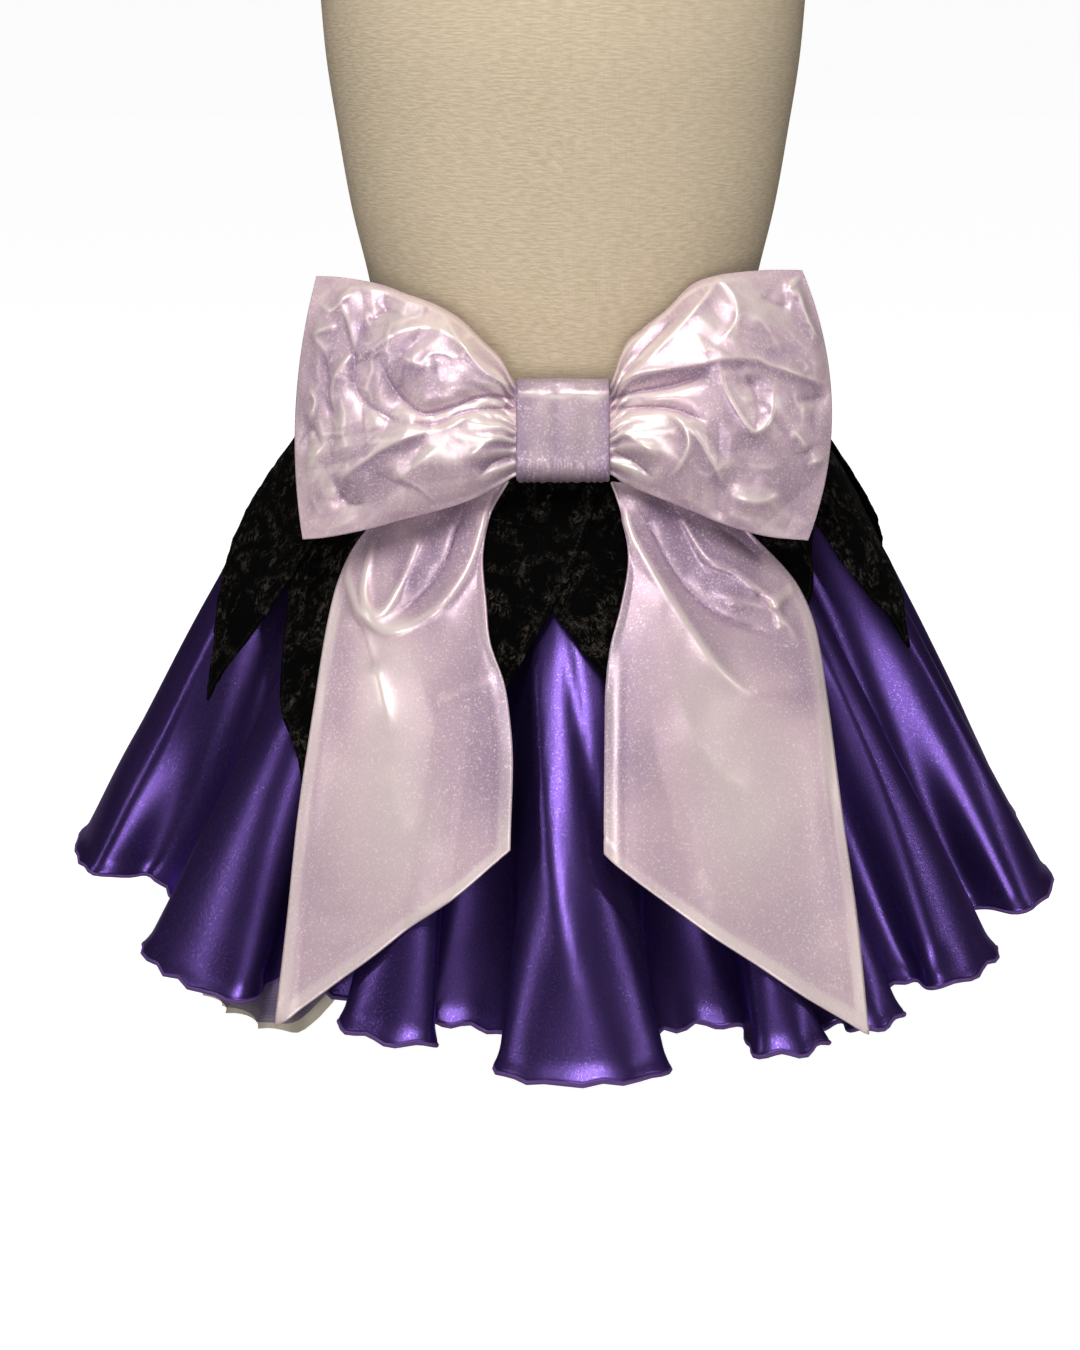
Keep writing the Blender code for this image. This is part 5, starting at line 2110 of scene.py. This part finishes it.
@dataclass
class BowTail:
    """One hanging end of the bow, lined and cut to a slant, with its pressed seam lines."""

    side: Side
    rows: tuple[TailRow, ...]
    creases: tuple[Crease, ...]
    painted_streaks: tuple[Crease, ...]
    seed: int
    corner_drop: float = 0.25
    foot_slope: float = 0.8
    steps_down: int = 168
    steps_across: int = 92
    crowding: float = 1.15
    clearance: float = 0.01
    hem_clearance: float = 0.0016
    settle_start: float = 0.2
    settle_end: float = 0.3
    pleats: float = 2.0
    pleat_depth: float = 0.003
    pleat_fade: float = 0.06
    thickness: float = 0.0016
    seam_inset: float = 0.0085
    seam_height: float = 0.00032
    seam_width: float = 0.0018
    softness: float = 0.0008
    crumple: float = 0.0012
    sway: float = 0.0026
    softness_size: float = 0.045
    crumple_size: float = 0.04
    sway_size: float = 0.034
    edge_rise: float = 0.0014
    edge_share: float = 0.05
    deepest: float = -0.0012
    tone_sharpness: float = 260.0
    widest_turn: float = 85.0

    def drape_depth(self, x: Array, drop: Array, out: Array) -> Array:
        """Return Y of a cloth over the skirt's crests, at places seen from the front.

        Args:
            x: Places on X.
            drop: Drops from the waist.
            out: How far out from the crests the cloth lies.

        Returns:
            The cloth's Y at each place.
        """
        shares = np.linspace(0, 1, 101)
        lowering = FORM.dip_front - FORM.crest_lift
        falls = FORM.plain(shares)[2] + shares**FORM.growth_power * lowering
        turn = np.degrees(np.arctan(x / 0.22))
        fall = drop
        for _ in range(24):
            share = np.interp(fall, falls, shares)
            radius = FORM.crest_radius(FORM.place_of(turn))
            point = FORM.hang(turn, share, radius, -FORM.crest_lift, out)
            turn = turn + np.degrees((x - point[..., 0]) / 0.3)
            turn = np.clip(turn, -self.widest_turn, self.widest_turn)
            fall = fall + 0.8 * (drop - (FORM.waist_height - point[..., 2]))
        return point[..., 1]

    def points(self) -> tuple[Array, dict[str, Array]]:
        """Lay out the tail.

        Returns:
            Its inner face from the knot down, with the marks of its seam band and of its painted
            highlight and shade, from its bends and painted streaks.
        """
        top, foot = self.rows[0].drop, self.rows[-1].drop
        across = columns_between(0, 1, self.steps_across)
        level = rows_between(0, 1, self.steps_down) ** self.crowding
        inner_drop = top + (self.corner_drop - top) * level
        outer_drop = top + (foot - top) * level
        drop = inner_drop + (outer_drop - inner_drop) * across
        inner = read_table(self.rows, "drop", "inner", drop)
        outer = read_table(self.rows, "drop", "outer", drop)
        x = inner + (outer - inner) * across
        pleat = self.pleat_depth * bell(drop - top, self.pleat_fade) * ripple(self.pleats * across)
        settled = np.interp(drop, (self.settle_start, self.settle_end), (0.0, 1.0))
        clearance = self.clearance + (self.hem_clearance - self.clearance) * settled
        soft = Unevenness(self.seed).at(x, drop, self.softness_size)
        small = Unevenness(self.seed + 1).crumple(x, drop, self.crumple_size, 2)
        sway = Unevenness(self.seed + 2).at(x + 0.3, 0.55 * drop, self.sway_size)
        upper = smooth_step((0.175 - drop) / 0.06)
        edges = smooth_step(np.minimum(across, 1 - across) / self.edge_share)
        worn = self.softness * soft + self.crumple * small * upper + self.sway * sway
        started = smooth_step((drop - top) / 0.016)
        raised = (crease_depth(self.creases, x, drop) + worn) * edges
        raised = np.maximum(raised, -0.6 * self.clearance) * started
        raised = np.where(settled > 0, np.maximum(raised, self.deepest), raised)
        raised = raised + self.edge_rise * (1 - edges) * upper
        side_gap = np.minimum(x - inner, outer - x)
        foot_gap = (1 - level) * (foot - top) * np.cos(np.arctan(self.foot_slope)) + 0 * x
        seam = self.seam_ridge(side_gap, drop) + self.seam_ridge(foot_gap, drop)
        band = smooth_step((self.seam_inset - np.minimum(side_gap, foot_gap)) / 0.003)
        band = band * smooth_step((drop - 0.12) / 0.04) * (0.65 + 0.35 * soft)
        y = self.drape_depth(self.side.value * x, drop, clearance + pleat + raised + seam)
        # Painted highlight on ridges and painted shade in troughs, with the painted streaks of the
        # table
        bend = painted_shading(pleat + raised + 0.5 * seam, x, drop, self.tone_sharpness)
        bend = bend + crease_depth(self.painted_streaks, x, drop)
        grid = np.stack([self.side.value * x, y, FORM.waist_height - drop], axis=-1)
        marks = {BAND: band, PAINTED_LIGHT_MARK: bend}
        if self.side is Side.RIGHT:
            return grid, marks
        return grid[:, ::-1], {name: mark[:, ::-1] for name, mark in marks.items()}

    def seam_ridge(self, gap: Array, drop: Array) -> Array:
        """Return the low ridge that a seam allowance presses through.

        Args:
            gap: Each point's distance from the seamed edge.
            drop: Its drop from the waist.

        Returns:
            The ridge's height at each point.
        """
        here = smooth_step((drop - 0.15) / 0.03)
        filled = smooth_step((self.seam_inset - gap) / 0.002)
        line = bell(gap - self.seam_inset, self.seam_width)
        return here * self.seam_height * (line + 0.5 * filled)

    def build(self, satin: Material) -> Piece:
        """Args:
            satin: What it is made of.

        Returns:
            The tail.
        """
        node = f"bow_tail_{self.side.name.lower()}"
        grid, marks = self.points()
        piece = lay_cloth(f"{node}_satin", grid, marks=marks)
        thicken(piece, self.thickness, Facing.OUTWARD)
        declare(piece, satin, node)
        return piece


@dataclass
class Bow:
    """The whole bow: knot, loops and tails."""

    def build(self) -> list[Piece]:
        """Make every piece of the bow, the loops and tails in one satin.

        Returns:
            The pieces.
        """
        satin = LILAC_SATIN.material()
        parts = (
            BowLoop(Side.LEFT, LEFT_SECTIONS, LEFT_LOOP_CREASES, LEFT_LOOP_PAINTED_STREAKS, 81),
            BowLoop(Side.RIGHT, RIGHT_SECTIONS, RIGHT_LOOP_CREASES, RIGHT_LOOP_PAINTED_STREAKS, 83),
            BowTail(Side.LEFT, LEFT_ROWS, LEFT_TAIL_CREASES, LEFT_TAIL_PAINTED_STREAKS, 91),
            BowTail(Side.RIGHT, RIGHT_ROWS, RIGHT_TAIL_CREASES, RIGHT_TAIL_PAINTED_STREAKS, 93),
        )
        return [BowKnot().build(SHADED_KNOT_SATIN.material())] + [part.build(satin) for part in parts]


# Waistband, dress form and stand


@dataclass
class Waistband:
    """The ribbed elastic round the waist."""

    top_drop: float = 0.0125
    bottom_drop: float = 0.026
    seam_gap: float = 0.0003
    thickness: float = 0.0018
    columns: int = 360
    rows: int = 14
    ribs: float = 6.0
    rib_height: float = 0.00025
    gathers: float = 60.0
    gather_height: float = 0.0003

    def build(self) -> list[Piece]:
        """Returns:
            The band alone.
        """
        turn = columns_round(360, self.columns)
        down = rows_between(0, 1, self.rows)
        rib = self.rib_height * np.cos(2 * np.pi * self.ribs * down)
        gather = self.gather_height * np.sin(np.radians(turn * self.gathers))
        x, y = FORM.waist_point(turn + 0 * down, self.seam_gap + self.thickness + rib + gather)
        z = FORM.waist_height - self.top_drop - (self.bottom_drop - self.top_drop) * down + 0 * x
        piece = lay_cloth("waistband_elastic", np.stack([x, y, z], axis=-1), closed=True)
        thicken(piece, self.thickness, Facing.INWARD)
        declare(piece, BLACK_ELASTIC.material(), "waistband")
        return [piece]


@dataclass(frozen=True)
class FormRing:
    """A ring of the torso: height from the waist, half width, half depth and shift along Y."""

    height: float
    half_width: float
    half_depth: float
    shift: float


FORM_RINGS = table(
    FormRing,
    (-280, 156, 112, 0),
    (-274, 160, 115.5, 0),
    (-240, 164, 119, 0),
    (-190, 164, 120, 0),
    (-140, 155, 114.5, 0),
    (-90, 140, 105.5, 0),
    (-55, 127.5, 97.5, 0),
    (-28, 121.5, 93.5, 0),
    (0, 121.3, 93.3, 0),
    (40, 127, 96, 1),
    (90, 138, 101, 3),
    (140, 146, 108.5, 7),
    (180, 151.5, 113, 9),
    (230, 154.5, 108, 6),
    (280, 158, 98.5, 2),
    (325, 163, 89, -2),
    (352, 164, 82, -4),
    (372, 156, 75.5, -6),
    (388, 137, 69, -7),
    (402, 108, 62.5, -7),
    (415, 81, 57, -6),
    (428, 64, 53.5, -4),
    (445, 56, 51.5, -2),
    (478, 54, 51, 0),
    unit=MILLIMETRES,
)


@dataclass
class DressForm:
    """The linen-covered torso with its cap, pole and round base."""

    columns: int = 144
    rows: int = 150
    base_radius: float = 0.15
    base_thickness: float = 0.014
    base_edge: float = 0.004
    boss_radius: float = 0.026
    boss_height: float = 0.03
    pole_radius: float = 0.0125
    flange_radius: float = 0.045
    flange_thickness: float = 0.004
    flange_height: float = 0.012
    cap_radius: float = 0.052
    cap_thickness: float = 0.012
    knob_radius: float = 0.013
    knob_height: float = 0.026
    gap: float = 0.0003

    def torso_points(self) -> Array:
        """Lay out the torso.

        Returns:
            Its rings from the neck down, shut at both ends.
        """
        down = rows_between(FORM_RINGS[-1].height, FORM_RINGS[0].height, self.rows)
        angle = columns_round(2 * np.pi, self.columns)
        width, depth, shift = (
            read_table(FORM_RINGS, "height", name, down)
            for name in ("half_width", "half_depth", "shift")
        )
        x, y = width * np.sin(angle), shift - depth * np.cos(angle)
        rings = np.stack([x, y, FORM.waist_height + down + 0 * angle], axis=-1)
        shut = [0.001, 0.001, 1.0]
        return np.concatenate([rings[:1] * shut, rings, rings[-1:] * shut])

    def build(self) -> list[Piece]:
        """Returns:
            The torso, base, pole and cap.
        """
        wood, steel = DARK_WOOD.material(), STAND_STEEL.material()
        torso = lay_cloth("dress_form_linen", self.torso_points(), closed=True)
        declare(torso, CREAM_LINEN.material(), "dress_form")
        made = [torso]
        for name, node, outline, material, slot in (
            ("stand_base_wood", "stand_base", self.base_outline(), wood, "stand_wood"),
            ("stand_pole_steel", "stand_pole", self.pole_outline(), steel, "stand_steel"),
            ("neck_cap_wood", "neck_cap", self.cap_outline(), wood, "stand_wood"),
        ):
            piece = lathe(name, outline)
            declare(piece, material, node)
            made.append(piece)
        return made

    def base_outline(self) -> tuple[Point2, ...]:
        """Draw the base.

        Returns:
            Its outline from the axis over its top to its underside.
        """
        edge = self.base_edge
        return (
            (0.0, self.boss_height),
            (self.boss_radius - edge, self.boss_height),
            (self.boss_radius, self.boss_height - edge),
            (self.boss_radius, self.base_thickness),
            (self.base_radius - edge, self.base_thickness - edge / 2),
            (self.base_radius, self.base_thickness - edge),
            (self.base_radius, 0.0),
            (0.0, 0.0),
        )

    def pole_outline(self) -> tuple[Point2, ...]:
        """Draw the pole.

        Returns:
            Its outline, with its flange under the torso.
        """
        top = FORM.waist_height + FORM_RINGS[0].height - self.gap
        foot = self.boss_height + self.gap
        return (
            (0.0, top),
            (self.flange_radius, top),
            (self.flange_radius, top - self.flange_thickness),
            (self.pole_radius, top - self.flange_height),
            (self.pole_radius, foot),
            (0.0, foot),
        )

    def cap_outline(self) -> tuple[Point2, ...]:
        """Draw the neck's cap and its knob.

        Returns:
            Their outline, with the curves as short steps.
        """
        foot = FORM.waist_height + FORM_RINGS[-1].height + self.gap
        top = foot + self.cap_thickness
        at, stops = np.linspace(0, 1, 14), [0, 0.25, 0.5, 0.75, 1]
        radii = self.knob_radius * curve_through(stops, [0.0, 0.7, 1.0, 0.75, 0.55], at)
        falls = self.knob_height * curve_through(stops, [1.0, 0.96, 0.68, 0.34, 0.14], at)
        knob = [(float(r), float(top + h)) for r, h in zip(radii, falls)]
        cap = ((0.55, 1.0), (0.8, 0.86), (0.94, 0.65), (0.99, 0.42), (1.0, 0.25), (0.97, 0.0))
        rim = [(self.cap_radius * r, foot + self.cap_thickness * h) for r, h in cap]
        return (*knob, *rim, (0.0, foot))


# Studio


@dataclass(frozen=True)
class SoftBox:
    """A soft light: where it is, the point it faces, its face's size and its power in watts."""

    name: str
    at: Point3
    towards: Point3
    width: float
    length: float
    power: float

    def build(self) -> None:
        """Hang the light, with its length in the plane that holds the Z axis."""
        data = bpy.data.lights.new(self.name, "AREA")
        data.shape = "RECTANGLE"
        data.size = self.width
        data.size_y = self.length
        data.energy = self.power
        lamp = bpy.data.objects.new(self.name, data)
        bpy.context.scene.collection.objects.link(lamp)
        lamp.location = self.at
        way = np.array(self.at) - np.array(self.towards)
        pitch = math.atan2(math.hypot(way[0], way[1]), way[2])
        lamp.rotation_euler = (pitch, 0.0, math.atan2(way[1], way[0]) + math.pi / 2)


SOFT_BOXES = (
    SoftBox("overhead_strip", (-0.12, -1.05, 2.1), (0.0, 0.0, 0.3), 0.34, 1.3, 27.0),
    SoftBox("front_low", (-0.1, -3.00, 0.5), (0.0, 0.0, 0.4), 1.6, 1.00, 37.0),
    SoftBox("side_left", (-2.00, -0.5, 1.1), (0.0, 0.0, 0.25), 0.18, 1.2, 5.0),
    SoftBox("side_right", (2.00, -0.5, 1.1), (0.0, 0.0, 0.25), 0.18, 1.2, 4.5),
    SoftBox("back_strip", (0.25, 1.7, 1.85), (0.0, 0.0, 0.35), 0.4, 1.5, 20.0),
)


@dataclass
class Studio:
    """A pale floor, soft lights and the camera."""

    camera_at: Point3 = (0.0, -1.35, 0.63)
    pitch: float = 72.25
    lens: float = 53.87
    shift: float = -0.017
    floor_half: float = 14.0
    floor_glow: float = 0.97
    backdrop: float = 0.97
    fill: float = 0.035

    def build(self) -> None:
        """Make the floor, the lights, the surroundings and the camera."""
        self.make_floor()
        for box in SOFT_BOXES:
            box.build()
        self.make_surroundings()
        self.make_camera()
        bpy.context.scene.view_settings.view_transform = "Standard"

    def make_floor(self) -> None:
        """Lay a plain pale floor, a little brighter to the eye than the light on it makes it."""
        line = np.array([-self.floor_half, self.floor_half])
        x, y = np.meshgrid(line, line)
        floor = lay_cloth("floor", np.stack([x, y, 0 * x], axis=-1)[::-1])
        material, tree, shader = new_material("pale_floor")
        seen = tree.add("LightPath").outputs["Is Camera Ray"]
        tree.fill(
            shader,
            Base_Color=(0.3, 0.3, 0.3),
            Roughness=0.95,
            Specular_IOR_Level=0.0,
            Emission_Color=(1.0, 1.0, 1.0),
            Emission_Strength=tree.times(seen, self.floor_glow),
        )
        floor.data.materials.append(material)

    def make_surroundings(self) -> None:
        """Surround the scene with plain light, brighter where the camera sees it."""
        world = bpy.data.worlds.new("studio")
        world.use_nodes = True
        tree = ShaderTree(world.node_tree)
        seen = tree.add("LightPath").outputs["Is Camera Ray"]
        strength = tree.spread(seen, (self.fill, self.backdrop))
        tree.fill(world.node_tree.nodes["Background"], Color=(1.0, 1.0, 1.0), Strength=strength)
        bpy.context.scene.world = world

    def make_camera(self) -> None:
        """Place the camera at the photograph's angle."""
        data = bpy.data.cameras.new("camera")
        data.lens = self.lens
        data.sensor_width = 36.0
        data.shift_x = self.shift
        camera = bpy.data.objects.new("camera", data)
        camera.location = self.camera_at
        camera.rotation_euler = (math.radians(self.pitch), 0.0, 0.0)
        bpy.context.scene.collection.objects.link(camera)
        bpy.context.scene.camera = camera


def main() -> None:
    """Build the garment, the form it is on and the studio round them."""
    logging.basicConfig(level=logging.INFO, format="%(message)s")
    for assembly in (DressForm(), Waistband(), Petticoat(), SatinSkirt(), VelvetPetals(), Bow()):
        kind = type(assembly).__name__
        for piece in assembly.build():
            log.info("%s: %s has %d faces", kind, piece.name, len(piece.data.polygons))
    Studio().build()


if __name__ == "__main__":
    main()
